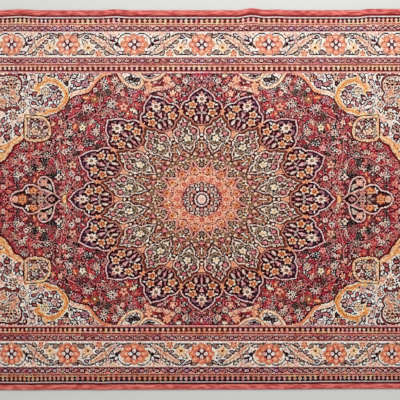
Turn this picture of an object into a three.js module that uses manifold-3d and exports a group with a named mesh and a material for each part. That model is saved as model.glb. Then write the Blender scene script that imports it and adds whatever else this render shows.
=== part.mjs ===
// A machine-made pile rug of about 1.4 by 2 metres, lying flat: one woven pile cloth with a plain
// flat-woven hem at each end, and a yarn binding overcast along each long edge.
// Units are millimetres, +Z up. The origin is on the floor under the middle of the rug,
// X runs along its length and Y across its width.

import * as THREE from "three";
import { mergeVertices } from "three/addons/utils/BufferGeometryUtils.js";
import Module from "manifold-3d";

const wasm = await Module();
wasm.setup();

// Driving sizes of the whole rug.
const RUG_LENGTH = 2026;
const RUG_WIDTH = 1400;
const PILE_HEIGHT = 10;
const HEM_LENGTH = 13;
const HEM_HEIGHT = 4;
const PILE_ROUND = 3;

// The binding's section, and its gap to the cloth.
const BINDING_WIDTH = 19;
const BINDING_HEIGHT = 9;
const BINDING_FLAT = 9;
const BINDING_SIDES = 12;
const GAP = 0.3;

// How far the long edges wander from a straight line. A bump is a smooth swelling of the edge: where its
// middle is along X, how far it reaches either way, and how far it stands out.
const FAR_EDGE = {
  line: RUG_WIDTH / 2 - 2.1,
  slope: 0,
  bumps: [
    { at: -670, reach: 75, out: 3.6 },
    { at: -320, reach: 62, out: 3.2 },
    { at: 186, reach: 58, out: 7.2 },
    { at: 272, reach: 60, out: 2.6 },
  ],
  step: { from: 572, to: 622, out: 5 },
};
const NEAR_EDGE = {
  line: RUG_WIDTH / 2 + 3,
  slope: -0.0022,
  bumps: [
    { at: -640, reach: 90, out: 0.8 },
    { at: -370, reach: 40, out: 1.2 },
  ],
  step: { from: 300, to: 500, out: -1.4 },
};

// Steps along the length.
const EDGE_STEPS = 84;

const materials = {
  pile: new THREE.MeshStandardMaterial({ color: 0xa9675c, roughness: 0.95, metalness: 0 }),
  binding: new THREE.MeshStandardMaterial({ color: 0xc4473f, roughness: 0.7, metalness: 0 }),
};

// A smooth step from 0 to 1 as t goes from 0 to 1, level at both ends.
function ease(t) {
  const held = Math.min(Math.max(t, 0), 1);
  return held * held * (3 - 2 * held);
}

// The distance of a long edge from the middle line at x: its straight line, its slope, the bumps and the step.
function edgeAt(edge, x) {
  let distance = edge.line + edge.slope * x;
  for (const bump of edge.bumps) {
    distance += bump.out * ease(1 - Math.abs(x - bump.at) / bump.reach);
  }
  distance += edge.step.out * ease((x - edge.step.from) / (edge.step.to - edge.step.from));
  return distance;
}

// The farthest that an edge stands out anywhere along the rug.
function farthest(edge) {
  let most = 0;
  for (let i = 0; i <= EDGE_STEPS; i += 1) {
    most = Math.max(most, edgeAt(edge, -RUG_LENGTH / 2 + (RUG_LENGTH * i) / EDGE_STEPS));
  }
  return most;
}

// Shifts the near edge so that the rug's box is centred on the origin.
NEAR_EDGE.line += farthest(FAR_EDGE) - farthest(NEAR_EDGE);

// The middle line of a binding, half its width inside the rug's outer edge.
class BindingPath extends THREE.Curve {
  constructor(edge, side) {
    super();
    this.edge = edge;
    this.side = side;
  }

  getPoint(t, target = new THREE.Vector3()) {
    const x = -RUG_LENGTH / 2 + RUG_LENGTH * t;
    const y = this.side * (edgeAt(this.edge, x) - BINDING_WIDTH / 2);
    return target.set(x, y, 0);
  }
}

// The section of a binding: flat where it rests on the floor, and a half oval above and at its sides.
// It is drawn with its height along -X and its width along Y, as the extrusion turns it up.
function bindingSection() {
  const shape = new THREE.Shape();
  shape.moveTo(0, -BINDING_FLAT / 2);
  const low = BINDING_HEIGHT * 0.45;
  for (let i = 0; i <= BINDING_SIDES; i += 1) {
    const angle = (Math.PI * i) / BINDING_SIDES;
    const across = (-BINDING_WIDTH / 2) * Math.cos(angle);
    const up = low + (BINDING_HEIGHT - low) * Math.sin(angle);
    shape.lineTo(-up, across);
  }
  shape.lineTo(0, BINDING_FLAT / 2);
  shape.closePath();
  return shape;
}

// One yarn binding along a long edge: side is +1 for the far edge and -1 for the near one.
function makeBinding(name, edge, side) {
  const geometry = new THREE.ExtrudeGeometry(bindingSection(), {
    steps: EDGE_STEPS,
    extrudePath: new BindingPath(edge, side),
    bevelEnabled: false,
  });
  const mesh = new THREE.Mesh(geometry, materials.binding);
  mesh.name = name;
  return mesh;
}

// A closed three.js geometry as a solid that can be joined or cut.
function toSolid(geometry) {
  const bare = geometry.clone();
  bare.deleteAttribute("normal");
  bare.deleteAttribute("uv");
  const merged = mergeVertices(bare);
  const vertProperties = new Float32Array(merged.attributes.position.array);
  const triVerts = new Uint32Array(merged.index.array);
  return new wasm.Manifold(new wasm.Mesh({ numProp: 3, vertProperties, triVerts }));
}

// A solid back as a three.js geometry.
function toGeometry(solid) {
  const mesh = solid.getMesh();
  const geometry = new THREE.BufferGeometry();
  geometry.setAttribute("position", new THREE.BufferAttribute(mesh.vertProperties, 3));
  geometry.setIndex(new THREE.BufferAttribute(mesh.triVerts, 1));
  geometry.computeVertexNormals();
  return geometry;
}

// The cloth seen from above: straight ends, and long edges that follow the bindings' inner sides.
function clothOutline() {
  const shape = new THREE.Shape();
  const inset = BINDING_WIDTH + GAP;
  for (let i = 0; i <= EDGE_STEPS; i += 1) {
    const x = -RUG_LENGTH / 2 + (RUG_LENGTH * i) / EDGE_STEPS;
    const y = inset - edgeAt(NEAR_EDGE, x);
    if (i === 0) {
      shape.moveTo(x, y);
    } else {
      shape.lineTo(x, y);
    }
  }
  for (let i = EDGE_STEPS; i >= 0; i -= 1) {
    const x = -RUG_LENGTH / 2 + (RUG_LENGTH * i) / EDGE_STEPS;
    shape.lineTo(x, edgeAt(FAR_EDGE, x) - inset);
  }
  shape.closePath();
  return shape;
}

// The cloth seen from its long side, in X and Z: a thin hem, the pile with rounded ends, and a thin hem.
function clothSection() {
  const end = RUG_LENGTH / 2;
  const pileEnd = end - HEM_LENGTH;
  const shape = new THREE.Shape();
  shape.moveTo(-end, 0);
  shape.lineTo(end, 0);
  shape.lineTo(end, HEM_HEIGHT);
  shape.lineTo(pileEnd, HEM_HEIGHT);
  shape.lineTo(pileEnd, PILE_HEIGHT - PILE_ROUND);
  shape.quadraticCurveTo(pileEnd, PILE_HEIGHT, pileEnd - PILE_ROUND, PILE_HEIGHT);
  shape.lineTo(PILE_ROUND - pileEnd, PILE_HEIGHT);
  shape.quadraticCurveTo(-pileEnd, PILE_HEIGHT, -pileEnd, PILE_HEIGHT - PILE_ROUND);
  shape.lineTo(-pileEnd, HEM_HEIGHT);
  shape.lineTo(-end, HEM_HEIGHT);
  shape.closePath();
  return shape;
}

// The woven cloth: its outline raised past the pile's height, kept where the long section also is.
function makeCloth() {
  const outline = new THREE.ExtrudeGeometry(clothOutline(), {
    depth: PILE_HEIGHT * 2,
    bevelEnabled: false,
  });
  const section = new THREE.ExtrudeGeometry(clothSection(), {
    depth: RUG_WIDTH * 1.2,
    bevelEnabled: false,
    curveSegments: 4,
  });
  section.rotateX(Math.PI / 2);
  section.translate(0, RUG_WIDTH * 0.6, 0);
  const solid = toSolid(outline).intersect(toSolid(section));
  const mesh = new THREE.Mesh(toGeometry(solid), materials.pile);
  mesh.name = "pile_cloth";
  return mesh;
}

const group = new THREE.Group();
group.add(makeCloth());
group.add(makeBinding("binding_far", FAR_EDGE, 1));
group.add(makeBinding("binding_near", NEAR_EDGE, -1));

export default group;
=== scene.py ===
# %% [markdown]
# # A machine-made medallion rug
# This lesson dresses a plain CAD rug, 1.4 by 2 metres, in its woven pile. The CAD model fixes where
# everything is. Here the pattern is worked out as a carpet designer would, as a chart of yarns, and
# every knot then becomes one small face with the colour of its yarn.
# Units are metres. The origin is on the floor under the rug's middle, X runs along it, Z is up.

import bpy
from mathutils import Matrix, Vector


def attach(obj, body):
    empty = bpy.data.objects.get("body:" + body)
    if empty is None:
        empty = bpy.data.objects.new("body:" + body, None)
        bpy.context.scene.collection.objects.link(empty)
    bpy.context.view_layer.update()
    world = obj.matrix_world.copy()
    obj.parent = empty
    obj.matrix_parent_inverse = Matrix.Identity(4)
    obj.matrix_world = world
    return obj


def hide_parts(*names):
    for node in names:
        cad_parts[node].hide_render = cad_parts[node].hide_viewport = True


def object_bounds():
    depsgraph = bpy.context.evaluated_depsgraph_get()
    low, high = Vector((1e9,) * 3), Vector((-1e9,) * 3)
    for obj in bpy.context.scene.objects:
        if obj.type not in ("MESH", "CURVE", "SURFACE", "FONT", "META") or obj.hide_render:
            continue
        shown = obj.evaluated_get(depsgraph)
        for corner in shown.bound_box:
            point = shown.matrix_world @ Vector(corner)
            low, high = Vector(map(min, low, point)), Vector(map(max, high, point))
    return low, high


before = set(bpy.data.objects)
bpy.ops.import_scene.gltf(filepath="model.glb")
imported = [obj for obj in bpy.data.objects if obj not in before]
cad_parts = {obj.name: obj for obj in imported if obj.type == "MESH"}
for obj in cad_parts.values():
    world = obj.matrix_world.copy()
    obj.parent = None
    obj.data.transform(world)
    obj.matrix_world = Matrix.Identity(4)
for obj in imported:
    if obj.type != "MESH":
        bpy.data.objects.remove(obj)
CAD_BOX = [[float(c) for c in corner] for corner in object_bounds()]

import bpy
import numpy as np

print("CAD nodes:", sorted(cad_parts), "box:", CAD_BOX)

# %% [markdown]
# ## The camera
# The photograph was taken from straight above, and cuts the rug off at both ends. A camera could be
# placed by eye, but here its height and lens follow from one measure: how many millimetres of rug one
# pixel of the photograph covers.

# %% the camera
PHOTO_PIXELS = 400
RUG_WIDE, RUG_PIXELS = 1.4, 380
SQUARE = RUG_WIDE / RUG_PIXELS
PHOTO_MIDDLE_X, PHOTO_MIDDLE_Y = 201.7, 199.25
CAMERA_HEIGHT = 3.4
SENSOR = 0.036


def camera_over_the_rug():
    """A camera looking straight down, whose lens makes one pixel cover one square of the rug."""
    half_view = PHOTO_PIXELS / 2 * SQUARE
    data = bpy.data.cameras.new("above")
    data.sensor_width = SENSOR * 1000
    data.lens = SENSOR * 1000 / 2 * CAMERA_HEIGHT / half_view
    data.clip_start, data.clip_end = 0.05, 50
    camera = bpy.data.objects.new("above", data)
    camera.location = (
        (PHOTO_PIXELS / 2 - PHOTO_MIDDLE_X) * SQUARE,
        (PHOTO_MIDDLE_Y - PHOTO_PIXELS / 2) * SQUARE,
        CAD_BOX[1][2] + CAMERA_HEIGHT,
    )
    bpy.context.scene.collection.objects.link(camera)
    bpy.context.scene.camera = camera
    return camera


print("lens:", round(camera_over_the_rug().data.lens, 1), "mm")

# %% [markdown]
# ## Meshes from grids
# Every new surface here is a grid: two parameters, and one formula for the place at each pair of them.
# numpy works out all the places at once, and Blender takes them in one call. Modelling by hand, or
# Blender's own grid with a displacement, would also do, but then the colours could not follow so easily.

# %% a mesh from arrays
def grid_faces(across, along, wrap=False):
    """Corner numbers of the four-sided faces of a grid of points, row after row.

    With wrap, the last point of each row is joined to its first, as on a tube.
    """
    row, col = np.mgrid[0:along - 1, 0:across if wrap else across - 1]
    right = (col + 1) % across
    here, ahead = row * across, (row + 1) * across
    return np.stack([here + col, here + right, ahead + right, ahead + col], -1).reshape(-1, 4)


def grid_corners(row, col):
    """The row and the column of the four corners of grid faces, in the order of grid_faces."""
    return row[:, None] + np.array([0, 0, 1, 1]), col[:, None] + np.array([0, 1, 1, 0])


def end_caps(around, along):
    """The faces that close a tube's two ends, each a ladder between the two halves of the end's ring."""
    k = np.arange(around // 2 - 1)
    start = np.stack([k, around - 1 - k, around - 2 - k, k + 1], -1)
    return np.vstack([start, start[:, ::-1] + (along - 1) * around])


def new_piece(name, points, faces, uv=None, smooth=True):
    """A mesh object at the origin from arrays of points and four-sided faces, with its flat map."""
    mesh = bpy.data.meshes.new(name)
    points = np.asarray(points, np.float32).reshape(-1, 3)
    faces = np.asarray(faces, np.int32)
    mesh.vertices.add(len(points))
    mesh.vertices.foreach_set("co", points.ravel())
    mesh.loops.add(faces.size)
    mesh.loops.foreach_set("vertex_index", faces.ravel())
    mesh.polygons.add(len(faces))
    mesh.polygons.foreach_set("loop_start", np.arange(len(faces), dtype=np.int32) * faces.shape[1])
    mesh.update(calc_edges=True)
    mesh.polygons.foreach_set("use_smooth", np.full(len(faces), smooth))
    if uv is not None:
        layer = mesh.uv_layers.new(name="OFBake")
        layer.uv.foreach_set("vector", np.asarray(uv, np.float32).ravel())
    piece = bpy.data.objects.new(name, mesh)
    bpy.context.scene.collection.objects.link(piece)
    return piece


def rest_on_root(piece, material, slot, *nodes):
    """Gives a piece its material and body and hides the CAD nodes it stands for; the slot is not used."""
    piece.data.materials.append(material)
    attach(piece, "root")
    if nodes:
        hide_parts(*nodes)
    print(piece.name, len(piece.data.polygons), "faces")
    return piece


# %% [markdown]
# ## Materials as sums
# A material is a sum: a colour, times how deep a fibre lies, and so on. Blender's nodes can be wired
# one by one, but that is long and hard to read. The class below lets a node's output be used like a
# number, so that the sums can be written as plain arithmetic.

# %% arithmetic with shader sockets
class Thread:
    """One output of a shader node, with plain arithmetic."""

    def __init__(self, tree, socket=None):
        """Keeps the node tree and the socket; a thread without a socket only adds new nodes."""
        self.tree, self.socket = tree, socket

    def node(self, kind, settings=(), out=0, **inputs):
        """Adds a node of any kind: first its settings, then its inputs, each a number or another thread.

        An input is named as in Blender with _ for a space, or by its place, as in _0.
        """
        node = self.tree.nodes.new(kind)
        for name, value in dict(settings).items():
            setattr(node, name, value)
        for name, value in inputs.items():
            key = int(name[1:]) if name[1:].isdigit() else name.replace("_", " ")
            if isinstance(value, Thread):
                self.tree.links.new(value.socket, node.inputs[key])
            else:
                node.inputs[key].default_value = value
        return Thread(self.tree, node.outputs[out])

    def math(self, operation, *values):
        """One Math node on this and other values."""
        inputs = {f"_{place}": value for place, value in enumerate(values)}
        return self.node("ShaderNodeMath", {"operation": operation}, **inputs)

    def __add__(self, other):
        """The sum."""
        return self.math("ADD", self, other)

    def __sub__(self, other):
        """The difference."""
        return self.math("SUBTRACT", self, other)

    def __rsub__(self, other):
        """The difference, with this number taken away from the other."""
        return self.math("SUBTRACT", other, self)

    def __mul__(self, other):
        """The product."""
        return self.math("MULTIPLY", self, other)

    __radd__, __rmul__ = __add__, __mul__

    def wave(self, length):
        """The sine of this number, with one swelling or hollow to each length."""
        return self.math("SINE", self * (np.pi / length))

    def fraction(self):
        """What is left past the last whole number."""
        return self.math("FRACT", self)

    def size(self):
        """This number without its sign."""
        return self.math("ABSOLUTE", self)

    def ramp(self, low, high):
        """From 0 at low to 1 at high, held beyond them."""
        settings = {"interpolation_type": "SMOOTHSTEP"}
        return self.node("ShaderNodeMapRange", settings, Value=self, From_Min=low, From_Max=high)

    def shade(self, depth):
        """A shade for a colour: 1 where this number is 1, and less by depth where it is 0."""
        return 1 - (1 - self) * depth

    def flecks(self, amount):
        """A shade that is 1 where this number is a half, and goes up and down by half the amount."""
        return 1 + (self - 0.5) * amount

    def noise(self, scale, detail=2.0):
        """Smooth random values between 0 and 1 at this place, with about scale swells to the metre."""
        settings = {"noise_dimensions": "3D"}
        return self.node("ShaderNodeTexNoise", settings, Vector=self, Scale=scale, Detail=detail)

    def tinted(self, colour):
        """A colour times this number."""
        return self.node("ShaderNodeVectorMath", {"operation": "SCALE"}, _0=colour, Scale=self)

    def mixed(self, first, second):
        """The first colour where this number is 0, the second where it is 1."""
        colours = {"_6": (*first, 1), "_7": (*second, 1)}
        return self.node("ShaderNodeMix", {"data_type": "RGBA"}, out=2, _0=self, **colours)

    def place(self):
        """The place on the piece: Blender's Object coordinates, in metres."""
        return self.node("ShaderNodeTexCoord", out=3)

    def parts(self):
        """The X, Y and Z of a vector."""
        split = self.node("ShaderNodeSeparateXYZ", _0=self)
        sockets = split.socket.node.outputs
        return [Thread(self.tree, sockets[k]) for k in range(3)]


def new_finish(name, **settings):
    """A material with one Principled shader, whose plain numbers are set on its own sockets."""
    material = bpy.data.materials.new(name)
    material.use_nodes = True
    tree = material.node_tree
    shader = tree.nodes["Principled BSDF"]
    for socket, value in settings.items():
        shader.inputs[socket.replace("_", " ")].default_value = value
    return material, Thread(tree), shader


def finish_from(shader, tint, colour, height, strength, rise):
    """The shader's colour, a shade times a colour, and its relief, a height that rises so many metres."""
    bump = height.node("ShaderNodeBump", Strength=strength, Distance=rise, Height=height)
    for name, thread in (("Base Color", tint.tinted(colour)), ("Normal", bump)):
        thread.tree.links.new(thread.socket, shader.inputs[name])


print("threads can", ", ".join(name for name in vars(Thread) if not name.startswith("_")))

# %% [markdown]
# ## The yarns
# A rug like this is woven from a few dyed yarns. The pattern is kept the way a mill keeps it: a chart
# in which every place holds the number of one yarn, and a separate list with each yarn's colour.
# Changing a colour then never touches the drawing.

# %% the yarn list
def table(text):
    """The rows of a table in plain words: its first line names the columns, and a dash is nothing.

    A row may leave out its last columns.
    """
    return [
        [None if w == "-" else float(w) if not w.strip("-.0123456789") else w for w in line.split()]
        for line in text.strip().splitlines()[1:]
    ]


YARN_COLOURS = {name: colour for name, *colour in table("""
    yarn red green blue
    clear 0 0 0
    ivory 248 216 200
    cream 248 202 178
    blush 246 198 186
    pearl 230 174 166
    white 246 216 200
    coral 224 108 86
    rust 188 68 54
    salmon 226 160 138
    peach 242 166 126
    orange 238 140 78
    gold 255 182 98
    ochre 178 102 54
    brown 132 70 48
    olive 122 84 58
    tan 216 168 136
    sage 150 120 100
    grey 166 128 120
    green 78 48 42
    ink 58 14 18
    maroon 112 26 36
    wine 70 16 26
    plum 90 36 60
    lilac 176 116 134
    rose 198 72 82
    crimson 158 29 49
    pink 234 140 140
    mauve 182 98 100
    band_dark 112 38 36
    band_light 226 138 108
    light_knob 236 166 124
    guard 234 140 122
    olive_line 150 84 50
    plum_line 104 44 54
    petal_line 224 154 142
    plum_dark 72 24 50
    apricot 234 158 120
    dusk 104 44 46
    umber 110 46 31
    slate 98 64 68
    straw 248 214 170
    coral_red 214 74 66
    corner_pale 254 212 192
    panel_tan 224 180 150
    panel_pink 226 180 158
    dusk_red 138 60 60
    mist 208 168 156
    vine 204 104 98
    peach_pale 244 200 174
    straw_pale 246 214 188
    coral_deep 202 86 70
    salmon_deep 206 108 90
    ground 200 38 62
    garnet 127 21 35
    pearl_white 214 172 150
    field_pale 194 102 96
    field_haze 156 84 82
    field_leaf 140 130 108
    field_dark 56 12 20
    leaf_light 188 162 132
    leaf_mid 86 80 66
    leaf_black 24 18 16
    leaf_green 90 66 56
    leaf_pale 232 204 176
    border_pale 255 226 210
    guard_light 242 162 140
    rosette_eye 150 62 62
    rosette 240 140 110
    rosette_deep 220 84 66
    leaf_sage 178 148 128
    leaf_slate 154 126 122
    ground_bright 226 72 76
    band_yellow 230 178 108
    band_pink 228 148 136
    band_purple 80 30 58
    band_brown 98 44 26
    ring_violet 92 54 96
    ring_slate 96 70 84
    guard_rose 244 156 140
    guard_lilac 198 140 150
    lobe_cream 232 206 176
    lobe_line 214 176 156
    lobe_olive 116 92 66
    lobe_slate 74 58 46
    lobe_grey 162 142 124
    crimson_dark 132 34 54
    highlight 228 140 138
    foot_line 166 102 82
    umber_red 96 38 28
    lancet_orange 206 112 78
    lancet_tan 170 126 94
    petal_orange 238 136 70
    petal_eye 166 88 50
    petal_peach 242 172 124
    petal_lilac 154 96 108
    petal_blue 58 34 66
    cell_salmon 206 132 112
    star_mauve 190 116 114
    star_edge 224 148 136
    star_peach 236 176 146
    middle_peach 238 198 184
    mosaic_gold 214 158 84
    mosaic_violet 128 92 112
    mosaic_green 66 58 46
    rosette_rim 232 112 88
    rosette_dot 252 186 148
    border_plum 92 34 60
    small_coral 228 112 92
""")}
YARNS = list(YARN_COLOURS)
NUMBER = {name: place for place, name in enumerate(YARNS)}
print(len(YARNS), "yarns")

# %% [markdown]
# ## Squared paper
# A carpet designer draws on squared paper. Here the paper is an array of yarn numbers, finer than the
# knots, and every mark on it is a formula: an oval, a petal ring, a leaf or a line is the set of samples
# for which one expression is true. A mark only looks at the samples around it, so thousands of marks
# take a moment. Another way would be to unwrap the rug and paint a picture, but then nothing could be
# changed by a number.

# %% smooth lines
CURVE_STEPS = 6


def smooth(places, closed=False):
    """Points on a curve through the places.

    Between two places the curve is the cubic that leaves and arrives in the direction of the chord
    between each place's neighbours (a Catmull-Rom curve).
    """
    p = np.array(places, float)
    if closed:
        before, after, last = np.roll(p, 1, 0), np.roll(p, -1, 0), np.roll(p, -2, 0)
    else:
        before = np.vstack([2 * p[:1] - p[1:2], p[:-2]])
        after = p[1:]
        last = np.vstack([p[2:], 2 * p[-1:] - p[-2:-1]])
        p = p[:-1]
    t = (np.arange(CURVE_STEPS) / CURVE_STEPS)[None, :, None]
    p, before, after, last = (a[:, None, :] for a in (p, before, after, last))
    curve = 0.5 * (
        2 * p
        + (after - before) * t
        + (2 * before - 5 * p + 4 * after - last) * t**2
        + (3 * p - before - 3 * after + last) * t**3
    )
    points = curve.reshape(-1, 2)
    return points if closed else np.vstack([points, np.array(places[-1], float)])


# %% the paper and its marks
class Paper:
    """A grid of samples, each with the number of one yarn.

    Places are in squares of the design. With rows_down, y counts down the paper, as in a design; a
    heading of 0 always points up the paper, and grows clockwise. With axis, places are counted along a
    line turned by that many degrees about the origin, and to its near side.
    """

    def __init__(self, left, right, low, high, fine, ground, rows_down=True):
        """A paper between four sides, with fine samples to each square, all of the ground's yarn."""
        self.x = left + (np.arange(round((right - left) * fine)) + 0.5) / fine
        self.y = low + (np.arange(round((high - low) * fine)) + 0.5) / fine
        self.fine = fine
        self.rise = -1.0 if rows_down else 1.0
        self.axes = np.eye(2)
        self.cells = np.full((len(self.y), len(self.x)), NUMBER[ground], np.uint8)

    def axis(self, degrees):
        """Counts the next places from an axis turned by so many degrees, or from the paper's own."""
        c, s = np.cos(np.radians(degrees)), np.sin(np.radians(degrees))
        self.axes = np.array([[-c, s], [s, c]]) if degrees else np.eye(2)

    def near(self, x, y, reach, heading=0.0):
        """The samples within reach of a place, with how far right and how far ahead of it they lie."""
        at = self.axes.T @ (x, y)
        cols = np.searchsorted(self.x, (at[0] - reach, at[0] + reach))
        rows = np.searchsorted(self.y, (at[1] - reach, at[1] + reach))
        cut = (slice(*rows), slice(*cols))
        px, py = self.x[cut[1]][None, :], self.y[cut[0]][:, None]
        right = self.axes[0, 0] * px + self.axes[0, 1] * py - x
        up = (self.axes[1, 0] * px + self.axes[1, 1] * py - y) * self.rise
        c, s = np.cos(np.radians(heading)), np.sin(np.radians(heading))
        return cut, right * c - up * s, right * s + up * c

    def lay(self, cut, mask, yarn):
        """Changes the chosen samples to a yarn."""
        self.cells[cut][mask] = NUMBER[yarn]

    def oval(self, x, y, across, along, yarn, heading=0.0):
        """An oval: the squares of its two scaled distances add up to less than one."""
        cut, u, v = self.near(x, y, max(across, along) + 1, heading)
        self.lay(cut, (u / across) ** 2 + (v / along) ** 2 < 1, yarn)

    def ovals(self, x, y, *rings):
        """Ovals on one place, the widest first, each with its half width, its half height and its yarn."""
        for across, along, yarn in rings:
            self.oval(x, y, across, along, yarn)

    def line(self, places, width, yarn, end=None, straight=False):
        """A line: the samples nearer than half its width to a curve, the width changing evenly to end."""
        points = np.array(places, float) if straight else smooth(places)
        widths = np.linspace(width, width if end is None else end, len(points) - 1)
        for a, b, wide in zip(points[:-1], points[1:], widths):
            mid, half = (a + b) / 2, (b - a) / 2 * (1, self.rise)
            size = max(half @ half, 1e-9)
            cut, u, v = self.near(*mid, np.sqrt(size) + wide)
            t = np.clip((u * half[0] + v * half[1]) / size, -1, 1)
            self.lay(cut, np.hypot(u - t * half[0], v - t * half[1]) < wide / 2, yarn)

    def area(self, places, yarn, line=None, width=1.0, straight=False, inner=()):
        """The inside of a closed curve: where a ray to the right crosses it an odd number of times.

        Each of inner is a width and a yarn: a band that follows the curve inside it, the widest first.
        """
        points = np.array(places, float) if straight else smooth(places, closed=True)
        mid = (points.min(0) + points.max(0)) / 2
        cut, u, v = self.near(*mid, np.ptp(points, axis=0).max() / 2 + 4)
        shape = (points - mid) * (1, self.rise)
        inside = np.zeros(np.broadcast(u, v).shape, bool)
        for (x0, y0), (x1, y1) in zip(shape, np.roll(shape, -1, 0)):
            if y0 != y1:
                crosses = (v > min(y0, y1)) & (v <= max(y0, y1))
                inside ^= crosses & (u < x0 + (v - y0) * (x1 - x0) / (y1 - y0))
        self.lay(cut, inside, yarn)
        closed = np.vstack([points, points[:1]])
        outside = self.cells[cut].copy()
        for reach, colour in inner:
            self.line(closed, 2 * reach, colour, straight=True)
        self.cells[cut][~inside] = outside[~inside]
        if line:
            self.line(closed, width, line, straight=True)

    def bloom(self, x, y, reach, petals, colour, line=None, eye=None, heading=0.0):
        """A round flower: equal ovals set round a ring, each found by folding the angle about it."""
        cut, u, v = self.near(x, y, reach + 1.2, heading)
        far, angle = np.hypot(u, v), np.arctan2(u, v)
        step = 2 * np.pi / petals
        folded = (angle + step / 2) % step - step / 2
        along, across = far * np.cos(folded), far * np.sin(folded)
        middle, half = 0.58 * reach, 0.42 * reach
        side = middle * np.sin(step / 2) * 0.92
        if line:
            edge = ((along - middle) / (half + 0.9)) ** 2 + (across / (side + 0.9)) ** 2 < 1
            self.lay(cut, edge | (far < middle), line)
        self.lay(cut, ((along - middle) / half) ** 2 + (across / side) ** 2 < 1, colour)
        if eye:
            self.lay(cut, far < 0.26 * reach, eye)

    def fan(self, x, y, reach, petals, colour, line, heading=0.0, foot=None):
        """Half a flower: narrow petals from one point, spread 80 degrees to either side of the heading."""
        spread = 80.0
        cut, u, v = self.near(x, y, reach + 1, heading)
        far, angle = np.hypot(u, v), np.degrees(np.arctan2(u, v))
        step = 2 * spread / petals
        folded = np.radians((angle + spread) % step - step / 2)
        along, across = far * np.cos(folded), far * np.sin(folded)
        within = np.abs(angle) < spread
        side = 0.62 * reach * np.sin(np.radians(step / 2))
        edge = ((along - 0.6 * reach) / (0.4 * reach + 0.6)) ** 2 + (across / (side + 0.6)) ** 2 < 1
        petal = ((along - 0.6 * reach) / (0.4 * reach)) ** 2 + (across / (side * 0.85)) ** 2 < 1
        self.lay(cut, (edge | (far < 0.6 * reach)) & within | (far < 0.28 * reach), line)
        self.lay(cut, petal & within, colour)
        if foot:
            self.oval(x, y, 0.26 * reach, 0.26 * reach, foot)

    def spray(self, x, y, reach, strokes, colour, dark, heading=0.0, spread=180.0):
        """Thin strokes spread from one point, light and dark by turns, to either side of the heading."""
        cut, u, v = self.near(x, y, reach + 1, heading)
        far, angle = np.hypot(u, v), np.degrees(np.arctan2(u, v))
        step = 2 * spread / strokes
        for turn, start, half, yarn in ((0.5, 0.0, 0.62, dark), (0.0, 0.3, 0.58, colour)):
            folded = np.radians((angle + spread + turn * step) % step - step / 2)
            along, across = far * np.cos(folded), far * np.sin(folded)
            stroke = (np.abs(across) < half) & (along > start * reach) & (along < (1 - 0.4 * turn) * reach)
            self.lay(cut, stroke & (np.abs(angle) < spread), yarn)

    def leaf(self, x0, y0, x1, y1, width, colour, line=None, bend=0.0, vein=None, rim=0.75):
        """A leaf from its foot to its tip: its width swells and shrinks as a sine, its middle may bend."""
        along = np.array([x1 - x0, (y1 - y0) * self.rise])
        length = max(np.hypot(*along), 0.1)
        heading = np.degrees(np.arctan2(*along))
        cut, u, v = self.near((x0 + x1) / 2, (y0 + y1) / 2, length / 2 + width + 1, heading)
        part = v / length + 0.5
        held = np.clip(part, 0, 1)
        middle = bend * 4 * held * (1 - held)
        half = width / 2 * np.sin(np.pi * held**0.85) ** 0.8
        aside = np.hypot(np.maximum(np.abs(u - middle) - half, 0), (part - held) * length)
        if line:
            self.lay(cut, aside < rim, line)
        self.lay(cut, (np.abs(u - middle) < half) & (part > 0) & (part < 1), colour)
        if vein:
            self.lay(cut, (np.abs(u - middle) < 0.35) & (part > 0.05) & (part < 0.9), vein)

    def bud(self, x, y, reach, colour, line=None, heading=0.0):
        """A three-lobed bud: one petal ahead and one to either side, from a common foot."""
        for turn, size in ((-48, 0.85), (48, 0.85), (0, 1.0)):
            ahead = np.radians(heading + turn)
            tip_x = x + reach * size * np.sin(ahead)
            tip_y = y + reach * size * np.cos(ahead) * self.rise
            self.leaf(x, y, tip_x, tip_y, reach * 0.62, colour, line, rim=0.9)


# %% [markdown]
# The smallest motifs have names of their own, so that a list can say where they go. Two helpers strew
# them: one drops specks anywhere, and one sets a motif near each place of a grid and shakes it, which
# leaves no large gaps. Their random numbers are seeded, so the rug is the same on every run.

# %% small motifs, and how they are strewn
PETALS = {"daisy": 7, "star": 5, "four": 4}


def sprig(paper, kind, x, y, reach, colour, line=None, eye=None, heading=0):
    """One small motif of the named kind."""
    turn = np.radians(heading)
    dx, dy = reach * np.sin(turn), -reach * np.cos(turn)
    if kind in PETALS:
        paper.bloom(x, y, reach, PETALS[kind], colour, line, eye, heading)
    elif kind == "fan":
        paper.fan(x, y, reach, 5, colour, line, heading, foot=eye)
    elif kind == "spray":
        paper.spray(x, y, reach, 8, colour, line, heading)
        paper.oval(x, y, 0.8, 0.8, eye or line)
    elif kind == "brush":
        paper.spray(x, y, 1.2 * reach, 5, colour, line, heading, spread=80)
    elif kind == "bud":
        paper.bud(x, y, reach, colour, line, heading)
    elif kind == "disc":
        paper.oval(x, y, reach, reach, line)
        paper.oval(x, y, reach - 0.8, reach - 0.8, colour)
        paper.oval(x, y, reach * 0.35, reach * 0.35, eye)
    elif kind == "leaf":
        paper.leaf(x - dx, y - dy, x + dx, y + dy, reach * 0.95, colour, line, vein=eye, rim=1.2)


def scatter(paper, count, seed, span, inks, sizes, slim=0.9):
    """Small seeded leaves and specks inside a span of the paper, each in one of the inks."""
    draw = np.random.default_rng(seed)
    left, right, low, high = span
    for x, y, turn, size, ink in zip(
        draw.uniform(left, right, count),
        draw.uniform(low, high, count),
        draw.uniform(0, 2 * np.pi, count),
        draw.uniform(*sizes, count),
        draw.choice(inks, count),
    ):
        dx, dy = size * np.sin(turn), size * np.cos(turn)
        paper.leaf(x - dx, y - dy, x + dx, y + dy, size * slim, str(ink))


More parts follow.
